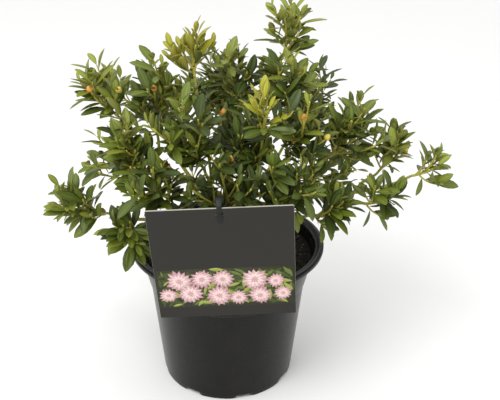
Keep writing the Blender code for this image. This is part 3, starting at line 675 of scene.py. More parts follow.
def leaf_points(root, direction, normal, length):
    """The tested points of a leaf."""
    across = np.cross(direction, normal)
    half = length * LEAF_BREADTH / 2
    return root + LEAF_TEST[:, :1] * length * direction + LEAF_TEST[:, 1:] * half * across


def leaf_fits(index, points, taken):
    """Whether a leaf keeps to its mass's space, clear of limbs, pot, card and the leaves before it."""
    if (np.linalg.norm(points - CENTRES[index], axis=1) > SIZES[index] * REACH_SHARE).any():
        return False
    if (space_gap(points, index) < LEAF_BORDER_GAP).any():
        return False
    if (np.linalg.norm(points[1:, None] - taken[None], axis=-1) < LEAF_SPACING).any():
        return False
    return (pot_gap(points) > 0).all() and (gap_to(points, LIMBS.values()) > LEAF_LIMB_GAP).all()


def grow_leaf(index, twig, station, opening, bearing, full, lift, taken):
    """A leaf's root, direction, upper side and length, or None where no turn of it fits."""
    point, heading = along(twig, station)
    across, upward = cross_frame(heading, UP)
    for less, shorter, turn in LEAF_TRIES:
        side = across * cos(bearing + turn) + upward * sin(bearing + turn)
        direction = unit(heading * cos(opening * less) + side * sin(opening * less) + UP * lift)
        face = heading + UP * LEAF_FACE_LIFT
        normal = face - (face @ direction) * direction
        if np.linalg.norm(normal) < LEAST_FACE:
            normal = cross_frame(direction, UP)[1]
        leaf = (point + side * LEAF_SEAT, direction, unit(normal), full * shorter)
        if leaf_fits(index, leaf_points(*leaf), taken):
            return leaf
    return None


def grow_fine_twig(index, shoot, station, opening, bearing, rng):
    """A finer twig's path, out from its shoot and bending up, or None where no turn of it fits."""
    start, heading = along(shoot, station)
    across, upward = cross_frame(heading, UP)
    full = rng.uniform(*FINE_LENGTHS)
    for shorter, turn in TWIG_TRIES:
        side = across * cos(bearing + turn) + upward * sin(bearing + turn)
        leave = unit(heading * cos(opening) + side * sin(opening))
        arrive = unit(leave + UP * FINE_LIFT)
        length = full * shorter
        tip = start + unit(leave + arrive) * length
        path = twig_path(start, leave, tip, arrive, length * SHOOT_CURVE)
        points, room = twig_room(index, path)
        if room > FINE_GAP and (np.linalg.norm(points - CENTRES[index], axis=1) < SIZES[index]).all():
            return path
    return None


def outer_share(point):
    """How far out a point lies in the crown, seen from the front: 0 in its middle, 1 at its outline."""
    return np.linalg.norm((point[[0, 2]] - CROWN_MIDDLE) / CROWN_REACH)


def spray_kind(index, tip, rng):
    """Which kind of leaf a spray bears: lighter ones higher and further out, young ones on a young mass."""
    high = (tip[2] - CROWN_MIDDLE[1]) / CROWN_REACH[1]
    # Painted light and shade: further out and higher gives a lighter kind, deeper inside a darker one; the
    # chance term is real tone
    score = KIND_BY_REACH * outer_share(tip) + KIND_BY_HEIGHT * high + rng.uniform(*KIND_CHANCE)
    if ARE_YOUNG[index] and rng.random() < YOUNG_SHARE:
        return YOUNG_KIND
    return int(np.searchsorted(KIND_STOPS, score))


def grow_spray(index, twig, taken, rng):
    """The leaves of one twig with their kinds: a rosette that opens from its end down."""
    kind = spray_kind(index, twig[-1], rng)
    is_young = kind == YOUNG_KIND
    lifts = YOUNG_LIFTS if is_young else LEAF_LIFTS
    spread = YOUNG_OPENING_SHARE if is_young else 1.0
    full = LEAF_LENGTH * (1 + OUTER_LEAF_GAIN * min(outer_share(CENTRES[index]), 1.0))
    bearing = rng.uniform(0.0, tau)
    count = rng.integers(*(YOUNG_SPRAY_LEAVES if is_young else SPRAY_LEAVES))
    leaves = []
    for j in range(count):
        share = j / (count - 1)
        station = 1.0 - SPRAY_DEPTH * share
        opening = spread * between(SPRAY_OPENINGS, share**SPRAY_OPENING_POWER)
        length = full * rng.uniform(*LEAF_LENGTHS)
        leaf_kind = kind
        if j < len(INNER_LEAF_SHARES):
            length = length * INNER_LEAF_SHARES[j]
            leaf_kind = kind if is_young else min(kind + 1, YOUNG_KIND - 1)
        turn = bearing + GOLDEN_TURN * j
        leaf = grow_leaf(index, twig, station, opening, turn, length, rng.uniform(*lifts), taken)
        if leaf is not None:
            leaves.append((*leaf, leaf_kind))
            taken = np.concatenate([taken, leaf_points(*leaf)[1:]])
    return leaves, taken


def grow_mass(index):
    """One mass: the solids' own twigs with finer ones off each, and the leaves of all but the stem."""
    rng = np.random.default_rng((FIRST_SEED, index, FINE_SEED))
    twigs = grow_twigs(index)
    room = between(TWIG_ROOMS, min(outer_share(CENTRES[index]), 1.0))
    fine = []
    for order, (shoot, *_) in enumerate(twigs):
        is_stem = order == 0
        count = int(SIZES[index] / room) + (MORE_STEM_TWIGS if is_stem else 0)
        count += MORE_BACK_TWIGS if CENTRES[index][1] > BACK_STARTS else 0
        opening = STEM_TWIG_OPENING if is_stem else FINE_OPENING
        bearing = rng.uniform(0.0, tau)
        for j in range(count):
            station = FINE_STATIONS[0] + (FINE_STATIONS[1] - FINE_STATIONS[0]) * (j + 0.5) / count
            path = grow_fine_twig(index, shoot, station, opening, bearing + GOLDEN_TURN * j, rng)
            if path is not None:
                fine.append((path, *FINE_RADII))
    leaves = []
    leafy = []
    taken = np.empty((0, 3))
    for order, twig in enumerate(twigs[1:] + fine):
        spray, filled = grow_spray(index, twig[0], taken, rng)
        is_shoot = order < len(twigs) - 1
        if is_shoot or len(spray) >= LEAST_FINE_LEAVES:
            leafy.append(twig)
            leaves += spray
            taken = filled
    return twigs[:1] + leafy, leaves


# Surfaces


def unit_rows(vectors):
    """Every vector of an array at length one."""
    return vectors / np.linalg.norm(vectors, axis=-1, keepdims=True)


def through(paths, count):
    """More points on each path: the polynomial through its few points, evenly spread in its own measure."""
    few = paths.shape[1]
    known = np.vander(np.linspace(0.0, 1.0, few), few)
    wanted = np.vander(np.linspace(0.0, 1.0, count), few)
    return wanted @ np.linalg.inv(known) @ paths


def respaced(line, measured, shares):
    """The rows of a line at shares of its run, which is measured over so many of its first columns."""
    steps = np.linalg.norm(np.diff(line[:, :measured], axis=0), axis=1)
    run = np.concatenate([[0.0], np.cumsum(steps)])
    return np.stack([np.interp(run[-1] * shares, run, column) for column in line.T], -1)


def rings_round(paths, radii, columns):
    """Rings round each path: its frame's two cross directions times the cosine and sine of a full turn.

    The radii come for each point of each path, and for each of its ring's columns or for all at once.
    """
    tangents = unit_rows(np.gradient(paths, axis=1))
    chords = np.abs(paths[:, -1] - paths[:, 0])
    hints = np.eye(3)[chords.argmin(axis=1)][:, None]
    across = unit_rows(np.cross(hints, tangents))
    upward = np.cross(tangents, across)
    turn = np.arange(columns) * tau / columns
    spread = np.cos(turn)[:, None] * across[:, :, None] + np.sin(turn)[:, None] * upward[:, :, None]
    return paths[:, :, None] + spread * radii[..., None]


def new_piece(name, points, faces, finishes):
    """An object of these points and faces."""
    mesh = bpy.data.meshes.new(name)
    mesh.from_pydata(points.reshape(-1, 3).tolist(), [], faces)
    for finish in finishes:
        mesh.materials.append(finish)
    piece = bpy.data.objects.new(name, mesh)
    bpy.context.scene.collection.objects.link(piece)
    return piece


def loft(name, first, grids, last, finishes, column_slots=None):
    """A piece made of a batch of closed shapes: each a pole, rows of a closed ring, and another pole."""
    count, rows, columns = grids.shape[:3]
    size = rows * columns + 2
    points = np.concatenate([first[:, None], grids.reshape(count, -1, 3), last[:, None]], axis=1)
    ring = np.arange(columns)
    after = (ring + 1) % columns
    row = np.arange(rows - 1)[:, None] * columns + 1
    quads = np.stack([row + ring, row + after, row + columns + after, row + columns + ring], -1)
    end = (rows - 1) * columns + 1
    fans = np.concatenate([
        np.stack([np.zeros_like(ring), after + 1, ring + 1], -1),
        np.stack([np.full_like(ring, size - 1), end + ring, end + after], -1),
    ])
    shift = (np.arange(count) * size)[:, None, None]
    faces = (quads.reshape(-1, 4) + shift).reshape(-1, 4).tolist() + (fans + shift).reshape(-1, 3).tolist()
    piece = new_piece(name, points, faces, finishes)
    if column_slots is not None:
        piece.data.polygons.foreach_set("material_index", np.tile(column_slots, (rows + 1) * count))
    piece.data.polygons.foreach_set("use_smooth", np.ones(len(faces), bool))
    piece.data.update()
    return piece


def swept(name, paths, radii, columns, finishes):
    """A piece of tubes along paths, closed at both ends."""
    return loft(name, paths[:, 0], rings_round(paths, radii, columns), paths[:, -1], finishes)


def settle(piece, slot, *nodes):
    """Fixes a piece to the plant's one body, for these nodes of the solids."""
    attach(piece, "root")
    if nodes:
        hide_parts(*nodes)


# Finishes


def shade(display):
    """A display colour (0 to 255) as the linear colour that a shader takes."""
    level = np.array(display) / 255
    linear = np.where(level <= 0.04045, level / 12.92, ((level + 0.055) / 1.055) ** 2.4)
    return (*linear.tolist(), 1.0)


class Value:
    """A socket that takes part in sums and products: each one adds the Math node that works it out."""

    def __init__(self, finish, socket):
        self.finish = finish
        self.socket = socket

    def worked(self, operation, number):
        return self.finish.node("ShaderNodeMath", {"operation": operation}, {0: number, 1: self})

    def __radd__(self, number):
        return self.worked("ADD", number)

    def __rmul__(self, number):
        return self.worked("MULTIPLY", number)


class Finish:
    """A material in the making: a Principled shader and the nodes that feed it."""

    def __init__(self, name):
        self.material = bpy.data.materials.new(name)
        self.material.use_nodes = True
        self.tree = self.material.node_tree
        self.shader = self.tree.nodes["Principled BSDF"]

    def feed(self, socket, value):
        """Sets a socket to a number or a colour, or links a value to it."""
        if isinstance(value, Value):
            self.tree.links.new(value.socket, socket)
        else:
            socket.default_value = value

    def node(self, kind, settings, inputs, output=0):
        """A node's output. Its settings go in first, then the values or links of its sockets."""
        node = self.tree.nodes.new(kind)
        for key, setting in settings.items():
            setattr(node, key, setting)
        for key, value in inputs.items():
            self.feed(node.inputs[key], value)
        return Value(self, node.outputs[output])

    def noise(self, spot, detail):
        """Noise from 0 to 1 on the piece's own coordinates, with spots about this many metres across."""
        place = self.node("ShaderNodeTexCoord", {}, {}, "Object")
        return self.node("ShaderNodeTexNoise", {}, {"Vector": place, "Scale": 1 / spot, "Detail": detail})

    def attribute(self, name):
        """A number that the mesh carries at each of its points."""
        return self.node("ShaderNodeAttribute", {"attribute_name": name}, {}, "Fac")

    def ramp(self, value, low, high):
        """A value stretched so that it goes from 0 at low to 1 at high."""
        inputs = {"Value": value, "From Min": low, "From Max": high}
        return self.node("ShaderNodeMapRange", {"clamp": True}, inputs)

    def mixed(self, share, one, other):
        """A colour between two, by a share."""
        return self.node("ShaderNodeMix", {"data_type": "RGBA"}, {0: share, 6: one, 7: other}, 2)

    def bumped(self, height, distance, strength):
        """A normal that a height in units of a distance tilts."""
        inputs = {"Height": height, "Distance": distance, "Strength": strength}
        return self.node("ShaderNodeBump", {}, inputs)

    def done(self, **sockets):
        """The material, with the shader's sockets set by their names in lower case with underlines."""
        names = {name.lower().replace(" ", "_"): name for name in self.shader.inputs.keys()}
        for key, value in sockets.items():
            self.feed(self.shader.inputs[names[key]], value)
        return self.material


def black_plastic():
    """Satin black plastic, faintly mottled, with fine wear."""
    finish = Finish("black_pot_plastic")
    cloud = finish.noise(0.030, 3.0)
    speckle = finish.noise(0.0012, 2.0)
    colour = finish.mixed(finish.ramp(cloud, 0.35, 0.7), shade((18, 18, 16)), shade((25, 24, 21)))
    return finish.done(
        base_color=colour,
        roughness=0.23 + 0.08 * cloud,
        normal=finish.bumped(speckle, 0.00006, 0.35),
        specular_ior_level=0.18,
    )


def mottled(name, spot, detail, span, colours, roughness, bump):
    """A finish that goes by one noise: from a dark colour to a light one over a span of it.

    The roughness is its least and what the noise adds, and the bump is the noise's depth and strength.
    """
    finish = Finish(name)
    noise = finish.noise(spot, detail)
    dark, light = colours
    least, more = roughness
    return finish.done(
        base_color=finish.mixed(finish.ramp(noise, *span), shade(dark), shade(light)),
        roughness=least + more * noise if more else least,
        normal=finish.bumped(noise, *bump),
    )


def litter_finish(name, dark, light, spot):
    """Bits of litter, mottled between two colours."""
    return mottled(name, spot, 2.0, (0.3, 0.7), (dark, light), (0.88, 0), (0.0003, 0.6))


def bark_finish():
    """Bark: brown on thick old wood, olive green towards the tips, finely cracked throughout."""
    finish = Finish("limb_bark")
    cracks = finish.noise(0.0016, 3.0)
    age = finish.attribute("age")
    old = finish.mixed(finish.ramp(cracks, 0.35, 0.7), shade((70, 52, 34)), shade((132, 108, 74)))
    young = finish.mixed(finish.ramp(cracks, 0.3, 0.75), shade((140, 138, 48)), shade((180, 172, 76)))
    return finish.done(
        base_color=finish.mixed(age, young, old),
        roughness=0.72 + 0.12 * cracks,
        normal=finish.bumped(cracks, 0.0005, 0.7),
    )


def leaf_finish(name, display, roughness):
    """One side of a leaf: a plain colour, with a gloss that varies gently and a fine grain."""
    finish = Finish(name)
    grain = finish.noise(0.0022, 2.0)
    return finish.done(
        base_color=shade(display),
        roughness=roughness + 0.14 * grain,
        normal=finish.bumped(grain, 0.00018, 0.5),
        specular_ior_level=0.40,
    )


def card_finish(name, display, roughness):
    """Printed card: one colour with a faint mottle in colour and gloss."""
    finish = Finish(name)
    fleck = finish.noise(0.0015, 2.0)
    high = tuple(min(255, level * 1.06) for level in display)
    colour = finish.mixed(fleck, shade(display), shade(high))
    return finish.done(base_color=colour, roughness=roughness + 0.08 * fleck, specular_ior_level=0.2)


# The pot and what is in it


def eased(profile):
    """A profile with each corner turned into a short curve, which starts and ends at most a set way off."""
    before, corner, after = profile[:-2], profile[1:-1], profile[2:]
    back = before - corner
    ahead = after - corner
    reach_back, reach_ahead = (
        np.minimum(CORNER_EASE / np.linalg.norm(way, axis=1), CORNER_LARGEST_SHARE)[:, None, None]
        for way in (back, ahead)
    )
    share = np.linspace(0.0, 1.0, CORNER_STEPS)[None, :, None]
    arcs = (
        corner[:, None]
        + (1 - share) ** 2 * back[:, None] * reach_back
        + share**2 * ahead[:, None] * reach_ahead
    )
    return np.concatenate([profile[:1], arcs.reshape(-1, 2), profile[-1:]])


def turned(name, radii, heights, foot, top, finishes):
    """A piece turned round the Z axis: rows of radii and heights for each bearing, closed at the axis."""
    bearing = np.arange(radii.shape[1]) * tau / radii.shape[1]
    grid = np.stack([radii * np.cos(bearing), radii * np.sin(bearing), heights], -1)
    return loft(name, np.array([[0.0, 0.0, foot]]), grid[None], np.array([[0.0, 0.0, top]]), finishes)


def make_pot():
    """The pot: the source's profile, its finer shape added, with notches that lift its edge off the floor."""
    body_top_radius = COLLAR_FOOT_RADIUS - COLLAR_STEP
    bead = RIM_RADIUS - BEAD_IN
    outside = [
        (HUB_RADIUS, 0.0),
        (BASE_RADIUS - FOOT_RING - FOOT_RING_EDGE, 0.0),
        (BASE_RADIUS - FOOT_RING, 0.0),
        (BASE_RADIUS, 0.0),
        (BASE_RADIUS + BASE_SWELL, BASE_SWELL_HEIGHT),
        (body_top_radius, SEEN_COLLAR_FOOT - COLLAR_STEP),
        (COLLAR_FOOT_RADIUS, SEEN_COLLAR_FOOT),
        (COLLAR_TOP_RADIUS, LIP_UNDER),
        (RIM_RADIUS - WALL, LIP_UNDER),
        (RIM_RADIUS - WALL, LIP_FOOT),
        (RIM_RADIUS, LIP_FOOT),
    ]
    lip = [
        (RIM_RADIUS, POT_HEIGHT - GROOVE_DEPTH),
        (bead + 2 * BEAD_HALF, POT_HEIGHT - GROOVE_DEPTH),
        (bead, POT_HEIGHT + BEAD_RISE),
        (bead - 2 * BEAD_HALF, POT_HEIGHT - GROOVE_DEPTH),
        (RIM_RADIUS - LIP_WIDTH, POT_HEIGHT - INNER_BAND_DROP),
    ]
    inside = [
        (COLLAR_TOP_RADIUS - WALL, LIP_UNDER - WALL),
        (COLLAR_FOOT_RADIUS - WALL, SEEN_COLLAR_FOOT + COLLAR_STEP),
        (body_top_radius - WALL, SEEN_COLLAR_FOOT),
        (FLOOR_RADIUS, FLOOR_TOP),
        (HUB_RADIUS, FLOOR_TOP),
    ]
    profile = eased(np.array(outside + lip + inside))
    radii = np.repeat(profile[:, :1], POT_COLUMNS, axis=1)
    heights = np.repeat(profile[:, 1:], POT_COLUMNS, axis=1)
    turn = np.arange(POT_COLUMNS) / POT_COLUMNS * DRAIN_NOTCHES - FIRST_NOTCH
    aside = np.abs((turn + 0.5) % 1.0 - 0.5) * tau * BASE_RADIUS / DRAIN_NOTCHES
    rise = NOTCH_RISE * np.clip((NOTCH_HALF - aside) / NOTCH_FLANK + 0.5, 0.0, 1.0)
    at_foot = (radii >= BASE_RADIUS - FOOT_RING - TINY) & (heights < NOTCH_RISE)
    heights = np.where(at_foot, np.maximum(heights, rise), heights)
    pot = turned("pot_shell", radii, heights, 0.0, FLOOR_TOP, [black_plastic()])
    settle(pot, "black_plastic", "pot")


def make_compost(rng):
    """The compost: the source's mound, with a random grain of about a millimetre on its top."""
    edge_radius = inner_radius(SOIL_EDGE_HEIGHT) - 2 * GAP
    under = np.array([
        (HUB_RADIUS, FLOOR_TOP + GAP),
        (FLOOR_RADIUS - 2 * GAP, FLOOR_TOP + GAP),
        (COLLAR_FOOT_RADIUS - COLLAR_STEP - WALL - 2 * GAP, SEEN_COLLAR_FOOT),
        (COLLAR_FOOT_RADIUS - WALL - 2 * GAP, SEEN_COLLAR_FOOT + COLLAR_STEP),
    ])
    rings = np.linspace(edge_radius, INNERMOST_RING, SOIL_ROWS)
    radii = np.concatenate([under[:, 0], rings])
    heights = np.concatenate([under[:, 1], soil_height(rings)])
    radii = np.repeat(radii[:, None], SOIL_COLUMNS, axis=1)
    heights = np.repeat(heights[:, None], SOIL_COLUMNS, axis=1)
    relief = rng.uniform(-GRAIN, GRAIN, (SOIL_ROWS, SOIL_COLUMNS))
    relief[0] = 0.0
    heights[len(under) :] += relief
    colours = ((20, 18, 16), (50, 40, 32))
    finish = mottled("moist_compost", 0.0035, 4.0, (0.45, 0.75), colours, (0.92, 0), (0.0012, 0.9))
    soil = turned("compost", radii, heights, FLOOR_TOP + GAP, MOUND_HEIGHT - GRAIN, [finish])
    settle(soil, "compost", "soil")


def scattered(count, reach, rng):
    """Points spread evenly over the compost's surface out to a radius."""
    radius = reach * np.sqrt(rng.random(count))
    bearing = rng.uniform(0.0, tau, count)
    return np.stack([radius * np.cos(bearing), radius * np.sin(bearing), soil_height(radius)], -1)


def crumbs(name, places, lengths, shape, rng, finish):
    """A piece of many small lumps: ellipsoids turned at random, with a random dent at each point."""
    count = len(places)
    turn = np.arange(CRUMB_COLUMNS) * tau / CRUMB_COLUMNS
    climb = np.array(CRUMB_ROWS)[:, None] * np.pi
    rise = np.broadcast_to(-np.cos(climb), (len(CRUMB_ROWS), CRUMB_COLUMNS))
    ball = np.stack([np.sin(climb) * np.cos(turn), np.sin(climb) * np.sin(turn), rise], -1)
    axes = unit_rows(rng.normal(size=(count, 3)) * CRUMB_AXES)
    cross = unit_rows(np.cross(axes, rng.normal(size=(count, 3))))
    third = np.cross(axes, cross)
    half = rng.uniform(*lengths, count)[:, None] / 2
    frames = np.stack([cross * half * shape[0], third * half * shape[1], axes * half], 1)
    dents = rng.uniform(*CRUMB_DENTS, (count, len(CRUMB_ROWS), CRUMB_COLUMNS, 1))
    grids = places[:, None, None] + (ball[None] * dents) @ frames[:, None]
    return loft(name, places - axes * half, grids, places + axes * half, [finish])


def make_litter(rng):
    """Bark chips and pale bits on the compost, and reddish fibres on its mound."""
    reach = inner_radius(SOIL_EDGE_HEIGHT) - LITTER_MARGIN
    dark = litter_finish("bark_litter", (24, 20, 17), (76, 60, 45), 0.003)
    chips = crumbs("litter_chips", scattered(CHIPS, reach, rng), CHIP_LENGTHS, CHIP_SHAPE, rng, dark)
    settle(chips, "compost")
    pale = litter_finish("pale_bits", (176, 170, 158), (222, 218, 208), 0.001)
    places = scattered(PALE_BITS, reach, rng)
    bits = crumbs("litter_pale_bits", places, PALE_BIT_LENGTHS, PALE_BIT_SHAPE, rng, pale)
    settle(bits, "compost")
    starts = scattered(FIBRES, FIBRE_REACH, rng) + UP * 2 * FIBRE_RADIUS
    bearing = rng.uniform(0.0, tau, FIBRES)
    way = np.stack([np.cos(bearing), np.sin(bearing), rng.uniform(*FIBRE_RISES, FIBRES)], -1)
    length = rng.uniform(*FIBRE_LENGTHS, FIBRES)[:, None]
    middles = starts + way * length / 2 + rng.normal(size=(FIBRES, 3)) * FIBRE_BEND
    ends = starts + way * length
    for points in (middles, ends):
        ground = soil_height(np.hypot(points[:, 0], points[:, 1])) + 2 * FIBRE_RADIUS
        points[:, 2] = np.maximum(points[:, 2], ground)
    paths = through(np.stack([starts, middles, ends], 1), FIBRE_ROWS)
    red = litter_finish("mound_fibre", (84, 46, 30), (150, 92, 58), 0.004)
    radii = np.full((FIBRES, FIBRE_ROWS, 1), FIBRE_RADIUS)
    fibres = swept("litter_fibres", paths, radii, FIBRE_COLUMNS, [red])
    settle(fibres, "compost")


# The card, its print and its tie

CARD_TURN = np.array(Euler((CARD_LEAN, -CARD_SPIN, CARD_YAW), "YXZ").to_matrix())


def from_card(points):
    """Points given across, behind and above the card's middle, in the pot's own frame."""
    return points @ CARD_TURN.T + CARD_CENTRE


def card_outline():
    """The card's outline, counter-clockwise seen from the front, with a quarter circle at each corner."""
    half = np.array([CARD_WIDTH, CARD_HEIGHT]) / 2 - CARD_CORNER
    corners = []
    for k, sides in enumerate(((1, 1), (-1, 1), (-1, -1), (1, -1))):
        turn = (np.linspace(0.0, 1.0, CARD_CORNER_STEPS) + k) * tau / 4
        corners.append(half * sides + CARD_CORNER * np.stack([np.cos(turn), np.sin(turn)], -1))
    outline = []
    for k, corner in enumerate(corners):
        following = corners[(k + 1) % 4][0]
        share = np.linspace(0.0, 1.0, CARD_SIDE_STEPS + 1)[1:-1, None]
        outline += [corner, corner[-1] + (following - corner[-1]) * share]
    return np.concatenate(outline)


def make_card():
    """The card: its outline and its round hole, joined by flat faces before and behind and by thin walls."""
    outline = card_outline()
    middle = np.array([0.0, CARD_HEIGHT / 2 - CARD_HOLE_DROP])
    hole = middle + CARD_HOLE_RADIUS * unit_rows(outline - middle)
    eased_outline = outline * (1 - CARD_EASE / CARD_WIDTH)
    half = CARD_THICK / 2
    loops = (
        (eased_outline, -half),
        (hole, -half),
        (hole, half),
        (eased_outline, half),
        (outline, half - CARD_EASE),
        (outline, CARD_EASE - half),
    )
    grid = np.array([
        np.stack([loop[:, 0], np.full(len(loop), depth), loop[:, 1]], -1) for loop, depth in loops
    ])
    rows, columns = grid.shape[:2]
    row = np.arange(rows)[:, None]
    ring = np.arange(columns)
    after = (ring + 1) % columns
    below = (row + 1) % rows
    faces = np.stack([
        row * columns + ring, row * columns + after, below * columns + after, below * columns + ring
    ], -1).reshape(-1, 4)
    finishes = [
        card_finish("charcoal_print", (42, 40, 36), 0.48),
        card_finish("white_card_edge", (176, 172, 162), 0.55),
    ]
    card = new_piece("card_sheet", from_card(grid), faces.tolist(), finishes)
    # Printed before and behind, white round the hole and the edge
    card.data.polygons.foreach_set("material_index", np.repeat([0, 1, 0, 1, 1, 1], columns))
    card.data.update()
    settle(card, "charcoal_card", "label_card")


def flat_shapes(name, centres, turns, lengths, breadths, depth, display):
    """A piece of thin pointed shapes that lie on the card: the half-breadth is a sine along the length."""
    share = np.linspace(0.0, 1.0, PRINT_ROWS + 2)[1:-1]
    half = np.sin(share * np.pi)
    # For each column, its share of the half-breadth and of the thickness
    columns = np.array([(1.0, 0.5), (0.0, 1.0), (-1.0, 0.5), (-1.0, 0.0), (1.0, 0.0)])
    run = share * lengths[:, None]
    wide = half * breadths[:, None] / 2
    ahead = np.stack([np.cos(turns), np.sin(turns)], -1)
    aside = np.stack([-np.sin(turns), np.cos(turns)], -1)
    spots = (
        centres[:, None, None]
        + run[..., None, None] * ahead[:, None, None]
        + (wide[..., None] * columns[:, 0])[..., None] * aside[:, None, None]
    )
    back = np.broadcast_to(depth - PRINT_THICK * columns[:, 1], spots.shape[:3])
    grids = np.stack([spots[..., 0], back, spots[..., 1]], -1)
    tips = centres + lengths[:, None] * ahead
    flat = np.full(len(centres), depth)
    first = np.stack([centres[:, 0], flat, centres[:, 1]], -1)
    last = np.stack([tips[:, 0], flat, tips[:, 1]], -1)
    piece = loft(name, from_card(first), from_card(grids), from_card(last), [card_finish(name, display, 0.5)])
    settle(piece, "charcoal_card")


def make_print_ground(front, half, low, high):
    """The printed band's dark ground: a thin plate, as four rings of four corners across the card."""
    middle, tall = (low + high) / 2, (high - low) / 2
    back = front - PRINT_SEAT
    face = front - PRINT_LIFT
    ring = ((face, 1), (face, -1), (back, -1), (back, 1))
    places = np.linspace(-half, half, 4)
    grid = np.array([[(place, depth, middle + side * tall) for depth, side in ring] for place in places])
    ends = np.array([(-half, (face + back) / 2, middle), (half, (face + back) / 2, middle)])
    finish = card_finish("print_ground", (52, 54, 38), 0.5)
    ground = loft("print_ground", from_card(ends[:1]), from_card(grid[None]), from_card(ends[1:]), [finish])
    settle(ground, "charcoal_card")


def make_print(rng):
    """The printed band: a dark ground with round many-petalled flower heads between pointed leaves."""
    front = -CARD_THICK / 2
    half = CARD_WIDTH / 2 - BAND_MARGIN
    low, high = BAND_FOOT, BAND_TOP
    make_print_ground(front, half, low, high)
    edge = np.array([half, high]) - PRINT_INSET
    floor = low + PRINT_INSET
    for order, (name, count, display) in enumerate(PRINT_LEAVES):
        lengths = rng.uniform(*PRINT_LEAF_LENGTHS, count)
        turns = rng.uniform(0.0, tau, count)
        spots = rng.uniform((-half, floor), (half, high), (count, 2))
        tips = spots + lengths[:, None] * np.stack([np.cos(turns), np.sin(turns)], -1)
        both = np.stack([spots, tips], 1)
        inside = (np.abs(both[..., 0]) < edge[0]) & (both[..., 1] < edge[1]) & (both[..., 1] > floor)
        kept = inside.all(axis=1)
        breadths = lengths * PRINT_LEAF_BREADTH
        depth = front - PRINT_LIFT - order * PRINT_THICK
        flat_shapes(
            "print_leaves_" + name, spots[kept], turns[kept], lengths[kept], breadths[kept], depth, display
        )
    radii = rng.uniform(*HEAD_RADII, PRINT_HEADS)
    share = (np.arange(PRINT_HEADS) + 0.5) / PRINT_HEADS
    rows = np.array(HEAD_ROW_HEIGHTS)[np.arange(PRINT_HEADS) % 2]
    heads = np.stack([half * (2 * share - 1), low + (high - low) * rows], -1)
    heads += rng.uniform(-HEAD_SPREAD, HEAD_SPREAD, heads.shape)
    room = np.stack([radii + PRINT_INSET, radii + PRINT_INSET], -1)
    heads = np.clip(heads, room + (-half, low), (half, high) - room)
    for order, (petals, reach, name, display) in enumerate(HEAD_RINGS):
        turns = np.arange(petals) * tau / petals + rng.uniform(0.0, tau, PRINT_HEADS)[:, None]
        lengths = np.repeat(radii * reach, petals) * rng.uniform(*PETAL_LENGTHS, PRINT_HEADS * petals)
        depth = front - PRINT_LIFT - (order + len(PRINT_LEAVES) + 1) * PRINT_THICK
        middles = np.repeat(heads, petals, axis=0)
        breadths = lengths * PETAL_BREADTH
        flat_shapes("print_petals_" + name, middles, turns.ravel(), lengths, breadths, depth, display)


def make_tie():
    """The tie: a flat strap with its tongue out of the card's hole, over the top edge and down behind."""
    line = np.array(TIE_LINE)
    line[:, 1] += CARD_HEIGHT / 2 - CARD_HOLE_DROP
    back = -TIE_FOOT_RADIUS - CARD_CENTRE[1]
    rise = soil_height(TIE_FOOT_RADIUS) - TIE_SUNK - CARD_CENTRE[2]
    behind = back * cos(CARD_LEAN) + rise * sin(CARD_LEAN)
    above = rise * cos(CARD_LEAN) - back * sin(CARD_LEAN)
    line = np.vstack([line, (behind, above, TIE_WIDTH)])
    spots = respaced(line, 2, np.linspace(0.0, 1.0, TIE_ROWS) ** TIE_CROWDING)
    spots[1:-1] = (spots[:-2] + 2 * spots[1:-1] + spots[2:]) / 4
    tangent = unit_rows(np.gradient(spots[:, :2], axis=0))
    normal = np.stack([-tangent[:, 1], tangent[:, 0]], -1)
    outline = np.concatenate([TIE_OUTLINE, -np.array(TIE_OUTLINE)])
    across = spots[:, 2:] / 2 * outline[:, 0]
    offset = spots[:, None, :2] + normal[:, None] * (TIE_THICK / 2 * outline[:, 1])[None, :, None]
    grid = np.stack([across, offset[..., 0], offset[..., 1]], -1)
    ends = np.stack([np.zeros(2), spots[[0, -1], 0], spots[[0, -1], 1]], -1)
    finish = card_finish("tie_plastic", (27, 31, 29), 0.35)
    tie = loft("tie_strap", from_card(ends[:1]), from_card(grid[None]), from_card(ends[1:]), [finish])
    settle(tie, "tie_plastic", "label_tie")


# The shrub


